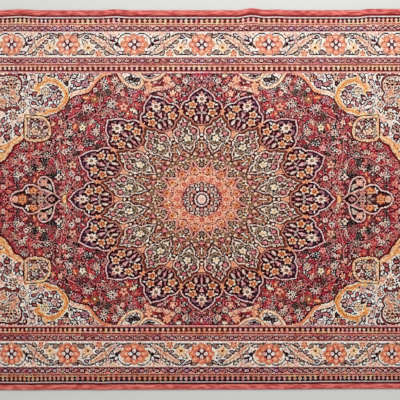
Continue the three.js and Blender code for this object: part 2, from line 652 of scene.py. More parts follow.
def shaken_grid(draw, span, pitch):
    """The places of a square grid over a span, each moved at random by up to four tenths of the pitch."""
    left, right, low, high = span
    x, y = (a.ravel() for a in np.meshgrid(np.arange(left, right, pitch), np.arange(low, high, pitch)))
    return x + draw.uniform(-0.4, 0.4, x.size) * pitch, y + draw.uniform(-0.4, 0.4, x.size) * pitch


def strokes(paper, pitch, seed, span, mixes, sizes, slim=1.3):
    """Seeded small leaves, each a light stroke with a dark one close along its side."""
    draw = np.random.default_rng(seed)
    places = shaken_grid(draw, span, pitch)
    count = len(places[0])
    for x, y, turn, size, pick in zip(
        *places,
        draw.uniform(0, 2 * np.pi, count),
        draw.uniform(*sizes, count),
        draw.integers(len(mixes), size=count),
    ):
        light, dark = mixes[pick]
        dx, dy = size * np.sin(turn), size * np.cos(turn)
        side_x, side_y = 0.55 * np.cos(turn), -0.55 * np.sin(turn)
        paper.leaf(x + side_x - dx, y + side_y - dy, x + side_x + dx, y + side_y + dy, slim, dark)
        paper.leaf(x - side_x - dx, y - side_y - dy, x - side_x + dx, y - side_y + dy, slim, light)


def kept_to(paper, yarn, strew, *settings):
    """Strews motifs, but leaves them only where the paper had one yarn."""
    held = paper.cells.copy()
    strew(paper, *settings)
    elsewhere = held != NUMBER[yarn]
    paper.cells[elsewhere] = held[elsewhere]


def meadow(paper, span, pitch, seed, mixes):
    """A motif near each place of a shaken grid, drawn at random from a list of kinds, sizes and yarns."""
    draw = np.random.default_rng(seed)
    x, y = shaken_grid(draw, span, pitch)
    picks = draw.integers(len(mixes), size=x.size)
    turns = draw.uniform(0, 360, x.size)
    for at_x, at_y, pick, turn in zip(x, y, picks, turns):
        kind, *looks = mixes[pick]
        sprig(paper, kind, at_x, at_y, *looks, heading=turn)


# %% [markdown]
# ## The border
# Every border of such a rug is one short unit turned over and over. The main border's unit runs from
# the plain rosette to the wrapped rosette, 67 squares on, and is then mirrored. So only this unit is
# charted, with the narrow bands above and below it, and the rug looks its yarns up there.
# x counts along the border from the plain rosette, and y inwards across the bands.

# %% the narrow bands
BORDER_UNIT = 67.3
BORDER_ROWS = (14.6, 73.0)
SMALL_REPEATS = 13
GUARD_REPEATS, GUARD_HALF = 4.5, 2.5


def rows(paper, low, high, yarn):
    """Fills the rows between two heights."""
    paper.cells[(paper.y >= low) & (paper.y < high)] = NUMBER[yarn]


def reciprocal(paper, root, tip, phase):
    """A row of dark pegs on a light ground: each has a wide root, a thin neck and a round head."""
    rows(paper, min(root, tip), max(root, tip), "band_light")
    pitch = BORDER_UNIT / SMALL_REPEATS
    way = np.sign(tip - root)
    rows(paper, *sorted((tip - 1.05 * way, tip - 0.3 * way)), "salmon_deep")
    for k in range(-1, SMALL_REPEATS + 1):
        x = (k + phase) * pitch
        paper.oval(x, root + 0.5 * way, 2.2, 1.3, "band_dark")
        paper.line([(x, root), (x, root + 3.6 * way)], 1.7, "band_dark")
        paper.oval(x, root + 3.3 * way, 1.7, 1.3, "band_dark")
        paper.oval(x + pitch / 2, root + 2.4 * way, 0.8, 0.8, "light_knob")
        paper.oval(x + pitch / 2, root + 5.6 * way, 1.0, 0.5, "light_knob")


def guard(paper, middle, lean):
    """A narrow band of outlined rings, with an outlined red leaf between each two, leaning to and fro."""
    rows(paper, middle - GUARD_HALF, middle + GUARD_HALF, "guard_rose")
    rows(paper, middle + GUARD_HALF - 0.7, middle + GUARD_HALF, "mauve")
    pitch = BORDER_UNIT / GUARD_REPEATS
    for k in range(5):
        x = k * pitch
        paper.ovals(x, middle, (3.3, 2.5, "plum_line"), (1.9, 1.3, "guard_light"), (0.9, 0.6, "plum_line"))
        for way in (-1, 1):
            barb = [(x + 4.6 * way, middle + 1.4 * lean), (x + 3.4 * way, middle - 0.6 * lean)]
            paper.line(barb, 0.8, "plum_line")
        x += pitch / 2
        side = 1 if k % 2 else -1
        foot, tip = (x - 2.9 * side, middle + 1.4 * lean), (x + 2.9 * side, middle - 1.4 * lean)
        paper.leaf(*foot, *tip, 2.0, "guard_light", "dusk", rim=1.1)
        rise = 0.7 * lean
        paper.line([(x - 1.6 * side, middle + rise), (x + 1.6 * side, middle - rise)], 0.7, "rust")


# %% [markdown]
# The two large motifs of the main border. The rosette is worked out round its middle: folding the
# angle makes one petal into eight. The long leaf follows a curve, and a saw-tooth added to its half
# width gives the feathered edge. Both could be drawn point by point, but a formula has fewer numbers.

# %% the rosette and the long leaf
ROSETTE_STRETCH = 1.19


def rosette(paper, x, y):
    """The border's rosette: eight dotted petals round a dark cross-shaped eye, wider than it is high."""
    cut, u, v = paper.near(x, y, 15)
    far, angle = np.hypot(u / ROSETTE_STRETCH, v), np.arctan2(u / ROSETTE_STRETCH, v)
    rim = 8.8 + 1.9 * np.abs(np.cos(4 * angle)) ** 0.8
    folded = (angle + np.pi / 8) % (np.pi / 4) - np.pi / 8
    along, across = far * np.cos(folded), far * np.sin(folded)
    paper.lay(cut, far < rim + 0.3, "rosette_rim")
    paper.lay(cut, far < rim - 0.3, "peach")
    paper.lay(cut, far < rim - 0.9, "rosette")
    paper.lay(cut, (np.abs(across) > along * 0.36) & (far > 4.6) & (far < rim - 0.4), "rosette_deep")
    paper.lay(cut, np.hypot(along - 7.4, across * 1.05) < 1.4, "rosette_dot")
    eye = np.abs(u) ** 1.4 / 6.8**1.4 + np.abs(v) ** 1.4 / 6.0**1.4
    paper.lay(cut, eye < 1, "rosette_eye")
    paper.lay(cut, eye < 0.72, "plum")
    for heading, far_out in ((0, 3.4), (90, 4.1), (180, 3.4), (270, 4.1)):
        turn = np.radians(heading)
        paper.oval(x + far_out * np.sin(turn), y - far_out * np.cos(turn), 1.8, 2.1, "blush", heading)
    paper.oval(x, y, 1.1, 1.1, "slate")


def long_leaf(paper):
    """The long feathered leaf: a peach fill with coral veins, and small grey-green leaves along its edge."""
    places = [(51.6, 55), (45.5, 51.6), (40.6, 47.6), (36.6, 44.2), (31.6, 40.7), (26.6, 37.8), (21, 35.2)]
    course = smooth(places)
    steps = np.gradient(course, axis=0)
    aside = np.stack([steps[:, 1], -steps[:, 0]], 1) / np.hypot(*steps.T)[:, None]
    part = np.linspace(0, 1, len(course))[:, None]
    half = 3.5 * np.sin(np.pi * part**0.9) ** 0.8
    tooth = (np.arange(len(course)) % 4)[:, None] / 3
    edges = [course + aside * side * half * (0.78 + 0.3 * tooth) + steps * tooth * 1.2 for side in (-1, 1)]
    outline = np.vstack([edges[0], edges[1][::-1]])
    for edge, side in zip(edges, (-1, 1)):
        for k in range(4, len(course) - 4, 4):
            tip = edge[k] + aside[k] * side * 2.0 + steps[k] * 2.6
            paper.leaf(*edge[k], *tip, 0.7, "leaf_sage" if k % 8 else "leaf_slate", "leaf_green", rim=0.6)
    paper.line(outline, 1.9, "leaf_green", straight=True)
    paper.area(outline, "peach_pale", straight=True)
    paper.line(course[2:-2], 0.8, "rosette_rim", end=0.6, straight=True)
    for k in range(3, len(course) - 3, 4):
        for reach in (0.8, -0.8):
            tip = course[k + 3] + aside[k] * half[k] * reach
            paper.line([course[k], tip], 0.6, "salmon", straight=True)


# %% [markdown]
# Between the rosettes run dark stems with small leaves, all in a list. They are drawn in the order of
# the weaver's eye: pale ground, stems, the long leaf, the small leaves, and the flowers on top.

# %% the main border's unit
BORDER_STEMS = [
    [(8.4, 52.6), (12.8, 54.4), (17.4, 54.6), (20.2, 53), (20.4, 50.5)],
    [(17.4, 54.6), (22.5, 54.4), (26.5, 52)],
    [(42.6, 35.1), (47, 37.2), (50.6, 38.4)],
    [(50.6, 42.5), (51, 39.8), (51.9, 38), (53.6, 36.1), (56.2, 34.4), (58.8, 33.4), (61.7, 33.4),
     (64.2, 34.6)],
    [(51.4, 54.6), (55.3, 54.8), (58.6, 54), (62.5, 53.6)],
    [(8.8, 36.0), (13.2, 34.4), (17.4, 33.5), (22.2, 33.2), (26.4, 34.2)],
]
BORDER_LEAVES = table("""
    foot_x foot_y tip_x tip_y width colour edge
    4.6 35.6 10.4 33.8 2.4 leaf_slate leaf_green
    10.6 37.4 16.4 34.2 1.5 leaf_sage leaf_green
    17.4 37.6 21 36.8 2 leaf_slate plum_dark
    19.4 44.8 15.4 40.2 2.8 leaf_pale leaf_green
    23.6 41.2 28 43.4 2 leaf_sage leaf_green
    28.4 47.2 32.4 46.2 1.8 leaf_slate plum_dark
    34.2 49.2 37.6 47.6 1.9 leaf_sage leaf_green
    41.4 54.8 37.2 52.2 2.3 leaf_sage leaf_green
    5.8 54.6 10.2 52.4 2.4 leaf_sage leaf_green
    11.2 53.8 17.6 50.8 3.4 leaf_slate leaf_green
    23.2 54.4 27.2 50.4 2.4 leaf_sage leaf_green
    43.6 46.4 46.2 44.4 2 leaf_sage leaf_green
    61.2 54.6 64.2 53.6 1.8 leaf_sage leaf_green
    55 52 61.2 54.2 1.7 leaf_sage leaf_green
    55.4 53.4 51.4 52 2 pearl plum_dark
    32.4 34.2 36 36.2 2 leaf_pale leaf_green
    36.6 37.2 39.4 39.4 1.5 leaf_pale leaf_green
    40.2 43.4 40.6 38.8 1.3 pearl leaf_slate
    49.8 38.4 47.6 35.2 1.2 mauve
    45.6 38.8 42.4 36.4 1.2 mauve
    52.4 33.2 50.6 35.4 1.2 mauve
""")


def main_border(paper):
    """The wide band's unit, on its ivory ground."""
    rows(paper, 31.3, 32.0, "mist")
    rows(paper, 32.0, 33.0, "cream")
    paper.oval(67.3, 40.0, 17.5, 8.2, "border_pale")
    paper.oval(0, 46.0, 16.0, 12.5, "border_pale")
    paper.oval(41, 39, 9, 5.5, "blush", -30)
    for stem in BORDER_STEMS:
        paper.line(stem, 1.2, "leaf_green")
    long_leaf(paper)
    for row in BORDER_LEAVES:
        paper.leaf(*row, rim=1.1)
    rosette(paper, 0, 44.6)
    paper.oval(55.9, 44.4, 2.8, 3.8, "peach")
    paper.oval(56.1, 44.2, 1.2, 1.6, "apricot")
    rosette(paper, BORDER_UNIT, 44.5)
    paper.bloom(21.0, 47.6, 4.3, 5, "straw", "peach_pale", heading=36)
    paper.ovals(21.0, 47.6, (1.9, 1.8, "gold"), (1.3, 1.2, "petal_eye"))
    paper.bloom(31.9, 53.2, 3.7, 5, "small_coral", "peach_pale")
    paper.bloom(31.9, 53.4, 2.4, 5, "peach", eye="coral_deep", heading=36)
    paper.leaf(48.2, 41.2, 44.4, 39.6, 2.6, "border_plum")
    paper.leaf(44.6, 41.4, 41.8, 39.2, 1.9, "border_plum")
    paper.leaf(47.4, 39.4, 45.8, 36.6, 1.6, "border_plum")
    paper.line([(48.4, 41.6), (44.9, 41.2), (43.2, 38.6)], 0.9, "plum")
    paper.oval(49.6, 44.2, 2.2, 2.1, "ink")
    paper.leaf(50.4, 44, 54.2, 48.8, 2.6, "leaf_green")
    paper.leaf(50.2, 41.4, 50, 43.8, 1.8, "maroon")
    paper.bloom(46.3, 34.4, 1.9, 5, "straw", eye="petal_eye")
    paper.oval(58.6, 35.6, 1.2, 0.8, "tan", 30)
    paper.oval(56.0, 37.8, 1.0, 0.8, "tan", 30)


BORDER_BANDS = table("""
    low high yarn
    14.6 16.1 maroon
    16.1 16.8 mauve
    16.8 17.7 blush
    17.7 18.3 band_dark
    23.9 24.8 olive_line
    24.8 25.5 band_pink
    30.6 31.3 plum_line
    57.4 58.8 mauve
    63.1 63.9 guard_rose
    63.9 64.6 mauve
    64.6 65.3 brown
    70.4 71.2 band_dark
    71.2 71.9 mauve
    71.9 73 guard_light
""")


def border_paper():
    """The whole border's unit: from the cloth's edge in to the field."""
    paper = Paper(0, BORDER_UNIT, *BORDER_ROWS, 6, "ivory")
    main_border(paper)
    reciprocal(paper, 18.2, 24.4, 0.5)
    reciprocal(paper, 71.0, 65.0, 0.0)
    guard(paper, 28.1, 1)
    guard(paper, 60.6, -1)
    for band in BORDER_BANDS:
        rows(paper, *band)
    return paper


BORDER = border_paper()
print("border unit:", BORDER.cells.shape, "samples")

# %% [markdown]
# ## The medallion
# The medallion repeats sixteen times round its middle, and each sixteenth is the same on both sides.
# So half of a sixteenth, a thin wedge, is charted, and the rug folds every angle into it. Places are
# given as distance aside and distance out from the middle, along one of two axes: the axis of the dark
# petals, or that of the pale lobes, half a sixteenth further on. The places were read from an
# enlarged average of the photograph's sixteen parts, and the outlines of the dark petal and of the
# lancet were corrected by laying them over it.

# %% the wedge
SIXTEENTH = 22.5
MEDALLION_REACH = 116.0


def both_sides(places):
    """A closed outline from its right half: the half, and back along its mirror image."""
    half = smooth(places)
    return np.vstack([half, half[::-1] * (-1, 1)])


PETAL = [
    (0, 112.2), (1.3, 110.9), (2.6, 109.8), (5.4, 108), (7.7, 106), (9.5, 103.9), (10.7, 101.4),
    (11.2, 99.4), (12.3, 98.6), (14.2, 97.8), (15.9, 95.9), (17, 93.6), (17.3, 91), (16.4, 87.6),
    (14.9, 85.2), (13.3, 83.1), (11.2, 81.6), (9, 81.2), (7.8, 79), (6.2, 76.6), (4, 75.4), (0, 75.1),
]
PETAL_FOOT = 13
LOBE = [
    (0, 83.4), (2.2, 80), (4.8, 78.5), (6, 76.6), (5.6, 74.6), (7.6, 73.2), (10, 71.4), (11.1, 68.8),
    (10.9, 66), (9.9, 64.8), (10.6, 63.2), (10.1, 60.8), (8.3, 59), (6.2, 57.7), (5.2, 55), (4.7, 52.4),
    (2.6, 49.8), (0, 46.2),
]
LANCET = [
    (0, 59.6), (1.3, 58), (2.5, 56.6), (3.1, 54.4), (2.9, 52), (3.6, 50.4), (5.2, 49), (6.4, 47.4), (7, 45),
    (7.2, 42.4), (7, 40), (5.6, 37.6), (3.4, 34), (0, 30.2),
]


def ringed_flower(paper, x, y, reach, heading):
    """An orange flower of five petals, light at the tips, with a brown ring round its light eye."""
    paper.bloom(x, y, reach, 5, "petal_peach", heading=heading)
    for part, yarn in ((0.66, "petal_orange"), (0.42, "petal_eye"), (0.18, "peach")):
        paper.oval(x, y, part * reach, part * reach, yarn)


def dark_petal(paper):
    """A dark petal with its pale edge: a cream cup flower, four orange flowers, buds and leaves."""
    shape = both_sides(PETAL)
    edge = smooth(PETAL[:PETAL_FOOT])
    foot = smooth(PETAL[PETAL_FOOT - 1:])
    paper.line(shape, 3.0, "maroon", straight=True)
    paper.line(foot, 3.8, "umber", straight=True)
    paper.line(foot, 2.3, "foot_line", straight=True)
    paper.line(foot, 0.9, "lancet_orange", straight=True)
    paper.area(shape, "wine", straight=True)
    paper.line(edge, 1.1, "petal_line", straight=True)
    shoulder = [(0.6, 109.4), (4.6, 107.4), (7.2, 105.2), (9.2, 102.2), (9.6, 100), (7.4, 100), (4, 104.4)]
    paper.area(shoulder, "petal_blue")
    paper.leaf(1.2, 105.4, 4.2, 106.6, 1.2, "petal_lilac")
    paper.leaf(11.2, 97.4, 14.4, 96.4, 1.4, "petal_blue")
    paper.leaf(12.6, 84.4, 14.6, 87.6, 1.4, "petal_blue")
    paper.leaf(1.6, 88.6, 3.6, 93.2, 1.3, "petal_blue")
    paper.area([(3.6, 102.9), (7.6, 102.8), (8.4, 100), (7.2, 98.2), (6.2, 100.6), (4, 101.6)], "petal_lilac")
    paper.leaf(0, 101, 0, 107.8, 2.8, "cell_salmon")
    paper.bloom(0, 100.2, 5.0, 8, "pearl", heading=22)
    paper.oval(0, 100.0, 3.1, 3.3, "peach_pale")
    paper.ovals(0, 100.4, (1.7, 1.7, "lobe_olive"), (0.7, 0.7, "lobe_grey"))
    paper.oval(4.5, 99.1, 1.0, 1.5, "ink", -30)
    ringed_flower(paper, 7.6, 94.6, 3.9, -80)
    paper.leaf(10.6, 94.6, 14.4, 94.9, 1.4, "pearl")
    ringed_flower(paper, 9.1, 86.5, 4.1, -40)
    paper.leaf(11.8, 89.6, 14.4, 92.6, 2.2, "petal_lilac")
    paper.area([(-1.8, 93), (0, 92.4), (1.8, 93), (1.0, 90), (0, 87.2), (-1.0, 90)], "pink")
    paper.leaf(0, 93.2, 0, 96, 1.4, "lobe_grey")
    paper.line([(0.6, 93.6), (2, 94.7), (3.4, 96)], 0.9, "slate")
    paper.leaf(2.9, 87.8, 4.9, 91.4, 1.1, "mauve")
    paper.oval(2.4, 86.2, 1.7, 1.2, "lobe_grey", 20)
    paper.oval(2.6, 84.6, 0.9, 0.9, "petal_blue")
    paper.leaf(0, 77.8, 0, 84.8, 2.5, "petal_lilac")
    paper.leaf(0, 78.6, 0, 84.0, 1.2, "pink")
    paper.leaf(0, 83.4, 0, 86.4, 1.4, "lobe_grey")
    paper.leaf(5.2, 77.8, 4.4, 84.4, 3.0, "lobe_grey")
    paper.leaf(5.1, 78.6, 4.6, 83.6, 1.3, "peach_pale")
    paper.leaf(2.7, 75.6, 2.9, 78.8, 1.6, "mauve")
    paper.line([(0, 78.2), (0, 76)], 0.8, "mauve")


# %% [markdown]
# The grounds inside a lobe, a lancet or the star aren't plain: on the real rug they are full of tiny
# leaves, each a light stroke beside a dark one. Only their mean pitch and their yarns can be told in the
# photograph, so they are strewn by seed, each kept to its own ground.

# %% the pale lobes
LOBE_STROKES = [
    # light, dark
    ("lobe_cream", "ink"), ("lobe_line", "leaf_green"), ("lobe_cream", "lobe_slate"), ("mist", "umber_red"),
]


def pale_lobe(paper):
    """A pale lobe: three crimson flowers, two grey ones and a cream one, among olive leaves."""
    shape = both_sides(LOBE)
    paper.line(shape, 1.9, "umber", straight=True)
    paper.area(shape, "lobe_grey", straight=True, inner=[(1.8, "leaf_green"), (1.15, "lobe_line")])
    kept_to(paper, "lobe_grey", strokes, 2.1, 52, (0, 11, 47, 82), LOBE_STROKES, (0.8, 1.5), 1.1)
    paper.area([(0, 82), (1.4, 80.2), (4.4, 78.4), (2.2, 78), (0, 79.4)], "lobe_line")
    paper.leaf(0, 78.6, 0, 82, 1.9, "lobe_slate")
    paper.leaf(2.8, 77.4, 5.0, 78.7, 1.5, "lobe_slate")
    paper.leaf(3.4, 76.4, 5.2, 74.8, 1.5, "lobe_line")
    paper.oval(2.5, 71.3, 1.3, 1.5, "lobe_line")
    paper.oval(0, 72.3, 1.5, 0.9, "lobe_grey")
    paper.line([(-1.6, 73.0), (0, 71.6), (1.6, 73.0)], 0.8, "lobe_slate")
    paper.leaf(2.6, 70.6, 5.2, 74.4, 2.4, "lobe_olive")
    for x, y in ((0, 76.2), (6.55, 68.3)):
        paper.bloom(x, y, 3.3, 7, "crimson_dark")
        paper.ovals(x, y, (2.6, 2.6, "crimson_dark"), (1.8, 1.8, "star_mauve"))
        paper.oval(x - 0.4, y + 0.4, 0.9, 0.9, "highlight")
    paper.leaf(2.4, 65.0, 2.4, 68.8, 1.7, "lobe_line")
    paper.area([(-2.1, 70), (0, 70.8), (2.1, 70), (1.5, 67.4), (0, 65), (-1.5, 67.4)], "lobe_slate")
    paper.leaf(0, 65.4, 0, 69.8, 2.0, "lobe_olive")
    paper.bloom(0, 62.2, 3.9, 5, "lobe_cream", "lobe_slate")
    paper.oval(0, 62.4, 0.8, 0.9, "band_yellow")
    paper.leaf(3.4, 62.4, 2.8, 65.4, 1.3, "lobe_olive")
    paper.bloom(6.1, 61.8, 3.1, 5, "lobe_slate", heading=150)
    paper.oval(6.1, 61.8, 2.2, 2.2, "lobe_slate")
    paper.bloom(5.9, 61.9, 2.0, 5, "lobe_grey", heading=150)
    paper.oval(5.6, 62.1, 0.6, 0.6, "leaf_green")
    paper.oval(9.2, 61.5, 0.9, 1.4, "blush")
    paper.area([(-2.7, 59.6), (0, 58.6), (2.7, 59.6), (1.8, 57.6), (0, 55.8), (-1.8, 57.6)], "lobe_olive")
    paper.leaf(1.6, 55.4, 4.4, 57.2, 1.8, "lobe_olive", "lobe_grey")
    paper.area([(-2.6, 54.8), (0, 54.0), (2.6, 54.8), (1.4, 52.8), (0, 51.2), (-1.4, 52.8)], "lobe_cream")
    paper.line([(3.2, 53.0), (1.7, 51.0), (0, 49.4)], 1.2, "lobe_slate")
    paper.leaf(0, 46.8, 0, 49.4, 1.8, "petal_lilac")


# %% the lancets
LANCET_STROKES = [
    # light, dark
    ("mosaic_gold", "ink"), ("mosaic_violet", "leaf_black"), ("star_peach", "umber_red"),
    ("lobe_grey", "ink"), ("mauve", "wine"), ("mosaic_gold", "mosaic_green"), ("orange", "umber"),
    ("lobe_cream", "mosaic_violet"),
]
EDGE_SPECKS = ["umber", "mosaic_gold", "mauve"]


def lancets(paper):
    """The ring of lancets: orange edges, an olive stem flower over a pink one, tan below, on red umber."""
    shape = both_sides(LANCET)
    paper.area(shape, "lancet_tan", straight=True)
    kept_to(paper, "lancet_tan", strokes, 2.2, 53, (0, 8, 30, 58), LANCET_STROKES, (0.9, 1.8), 1.2)
    paper.line(smooth(LANCET[:9]) * (0.86, 0.99), 1.1, "lancet_orange", straight=True)
    kept_to(paper, "lancet_orange", scatter, 40, 54, (0, 8, 40, 58), EDGE_SPECKS, (0.5, 1.1), 1.2)
    paper.oval(5.5, 45.2, 1.2, 1.8, "star_peach")
    paper.oval(0, 53.8, 1.7, 3.6, "lobe_olive")
    paper.line([(0, 53.4), (0, 47.6)], 2.4, "lobe_olive")
    paper.line([(0, 54.2), (0, 48.6)], 1.1, "cream")
    paper.leaf(0, 55.6, 0, 57.4, 1.0, "brown")
    paper.oval(3.9, 47.4, 1.2, 1.4, "brown")
    paper.oval(0, 44.3, 3.4, 3.2, "maroon")
    paper.oval(0, 47.2, 0.9, 0.9, "maroon")
    paper.bloom(0, 44.3, 2.9, 3, "mauve", eye="pink")
    paper.oval(0, 44.2, 1.0, 1.0, "pink")
    paper.ovals(5.2, 42.0, (2.1, 2.0, "lobe_olive"), (1.1, 1.0, "lancet_tan"))
    paper.oval(2.6, 40.9, 0.9, 0.8, "star_peach")
    paper.oval(3.4, 39.2, 0.9, 0.8, "gold")
    paper.oval(1.15, 38.9, 0.9, 0.8, "wine")
    drop = [(0, 37.4), (2.7, 36.2), (2.2, 34.2), (0, 30.4), (-2.2, 34.2), (-2.7, 36.2)]
    paper.area(drop, "lobe_slate", straight=True)
    paper.ovals(0, 34.9, (1.4, 1.5, "lobe_grey"), (0.6, 0.7, "lobe_slate"))
    paper.leaf(0, 30, 0, 33, 1.6, "maroon")


# %% the salmon star
STAR_STROKES = [
    # light, dark
    ("peach_pale", "coral_deep"), ("band_yellow", "coral"), ("pearl", "mauve"), ("star_peach", "rust"),
    ("pink", "coral"), ("petal_peach", "dusk"),
]
RAY_SPECKS = ["pink", "dusk", "salmon", "maroon"]


def salmon_star(paper):
    """The sixteen-pointed star: each point has an orange flower, and fine peach ogees ring the middle."""
    tip = [(0, 40.9), (1.6, 37.4), (3.6, 33), (5.9, 29.2)]
    paper.axis(SIXTEENTH / 2)
    paper.line(both_sides(tip), 1.1, "umber", straight=True)
    paper.axis(0)
    paper.oval(0, 0, 30.2, 30.2, "salmon")
    paper.axis(SIXTEENTH / 2)
    paper.area(both_sides(tip + [(0, 24)]), "salmon", straight=True)
    ray = both_sides([(0, 40), (1.4, 36.8), (3.1, 32.8), (3.4, 30), (0, 30)])
    paper.area(ray, "star_mauve", straight=True)
    paper.axis(0)
    kept_to(paper, "star_mauve", scatter, 60, 37, (0, 9, 29, 41), RAY_SPECKS, (0.7, 1.5), 0.8)
    kept_to(paper, "salmon", strokes, 1.9, 38, (0, 9, 16, 32), STAR_STROKES, (0.9, 1.7), 1.15)
    paper.axis(SIXTEENTH / 2)
    paper.line(smooth([(0, 40.2), (1.3, 36.9), (3.2, 32.6), (5.4, 28.9)]), 1.0, "star_edge", straight=True)
    paper.leaf(0, 33.2, 0, 37.6, 2.0, "dusk")
    paper.oval(1.9, 32.2, 0.9, 1.0, "mauve")
    paper.oval(0, 29.7, 2.6, 2.5, "peach")
    paper.bloom(0, 29.7, 2.9, 6, "petal_orange")
    paper.oval(0, 29.8, 0.9, 1.0, "brown")
    paper.oval(1.3, 25.4, 0.8, 0.8, "dusk")
    paper.oval(3.2, 25.0, 0.8, 0.8, "peach")
    paper.oval(0, 22.7, 0.9, 1.3, "star_peach")
    paper.oval(0, 19.2, 0.8, 0.7, "tan")
    paper.axis(0)
    paper.line([(0, 24.4), (1.9, 22), (3.1, 20), (2.4, 18)], 1.0, "peach")
    paper.line([(0, 22), (1.2, 20.6), (0.8, 19.2), (0, 18.8)], 0.8, "coral")
    paper.oval(0, 26.6, 0.8, 1.0, "peach")


# %% the whole wedge
def medallion_paper():
    """The wedge from the middle out, painted from the outside in, and the dark petal last."""
    paper = Paper(0, 24, 0, MEDALLION_REACH, 6, "clear", rows_down=False)
    paper.oval(0, 0, 87.5, 87.5, "brown")
    paper.oval(0, 0, 68, 68, "umber_red")
    kept_to(paper, "umber_red", strokes, 2.3, 55, (0, 14, 28, 66), LANCET_STROKES, (0.8, 1.5), 1.1)
    vee = [(0, 66.2), (1.2, 67.4), (2.2, 71), (3.4, 73.6), (4.8, 76)]
    paper.area(vee + [(-x, y) for x, y in vee[:0:-1]], "apricot")
    paper.oval(0, 64.8, 2.6, 1.7, "lobe_olive")
    paper.oval(0, 64.7, 1.5, 0.9, "cream")
    paper.axis(SIXTEENTH / 2)
    pale_lobe(paper)
    paper.axis(0)
    lancets(paper)
    paper.axis(SIXTEENTH / 2)
    gem = [(-1.5, 44.2), (1.5, 44.2), (1.0, 42.2), (0, 41.6), (-1.0, 42.2)]
    paper.area(gem, "pearl", "lobe_olive", 0.8, straight=True)
    paper.axis(0)
    salmon_star(paper)
    paper.oval(0, 0, 17.2, 17.2, "clear")
    dark_petal(paper)
    paper.axis(SIXTEENTH / 2)
    star = [(0, 92.6), (0.9, 90.8), (2.9, 90.4), (1.3, 89), (1.3, 87), (0, 86)]
    paper.area(star + [(-x, y) for x, y in star[::-1]], "orange", straight=True)
    paper.axis(0)
    return paper


MEDALLION = medallion_paper()
print("medallion wedge:", MEDALLION.cells.shape, "samples")

# %% [markdown]
# ## The field
# The red field, its four corners and the pendants are alike in all four quarters of the rug, so one
# quarter is charted. Every small flower is one line of a list: its kind, its place, its size and its
# yarns, read from enlarged parts of the photograph. The gaps between them are then filled with
# specks and small leaves at random places, as the field's weave is full of them.

# %% the field's span
FIELD_SPAN = (-22.0, 202.0, 72.0, 200.0)

# %% [markdown]
# The vines come first, because everything else sits on them: pale stems that branch off each other.

# %% the vines
VINES = [
    [(60, 137.5), (60, 148.8), (61.3, 159.4), (63.8, 167.5), (65, 173.8), (68.8, 185), (72.5, 193)],
    [(63.8, 167.5), (58.8, 163.8), (53.1, 158.8), (45, 156.9), (37.5, 157.5), (31.3, 159.4), (23.8, 165),
     (18.8, 165)],
    [(68.1, 157.5), (70, 153.1), (75, 146.3), (75.6, 139.4), (84, 131)],
    [(66.5, 159), (71, 157.8), (75, 161), (76, 166)],
    [(3.8, 181.3), (6.3, 176.9), (12.5, 173.1), (20.6, 165.6)],
    [(20.6, 165.6), (12, 163), (8, 158.5)],
    [(60, 137.5), (59.5, 130), (64, 122), (72, 117), (80, 112), (84, 106)],
    [(86.7, 123.3), (92.9, 116.2), (99.5, 110), (100, 102), (101, 96)],
    [(99.5, 110), (108, 108), (112.5, 110.5)],
    [(115.2, 84), (112.5, 91), (113.5, 99)],
    [(60, 118), (66, 124), (66.5, 130)],
    [(75, 131), (82, 136), (88, 133)],
    [(124, 96), (131, 99), (137, 97)],
    [(125, 100), (132, 104), (134.5, 108)],
    [(180.5, 97), (181, 90), (186, 85), (191, 82.5)],
    [(191, 92), (194, 87), (198, 84)],
    [(70, 188), (75, 182), (80, 178), (83, 179)],
    [(30, 168.5), (34, 172), (39, 175)],
    [(-20, 178), (-12, 173), (-4, 175), (2, 182)],
    [(-14, 196), (-9, 190), (-2, 188)],
]


def vines(paper):
    """The pale stems with a dark side, and a pair of leaves every few squares."""
    for course in VINES:
        stem = smooth(course)
        paper.line(stem + 0.7, 1.0, "field_dark", straight=True)
        paper.line(stem, 0.85, "vine", straight=True)
        steps = np.gradient(stem, axis=0)
        steps = steps / np.hypot(*steps.T)[:, None]
        for k in range(2, len(stem) - 1, 6):
            (x, y), (dx, dy) = stem[k], steps[k] * 3.2
            for side, yarn in ((1, "vine"), (-1, "leaf_black")):
                paper.leaf(x, y, x + dx - side * dy * 0.8, y + dy + side * dx * 0.8, 1.1, yarn)


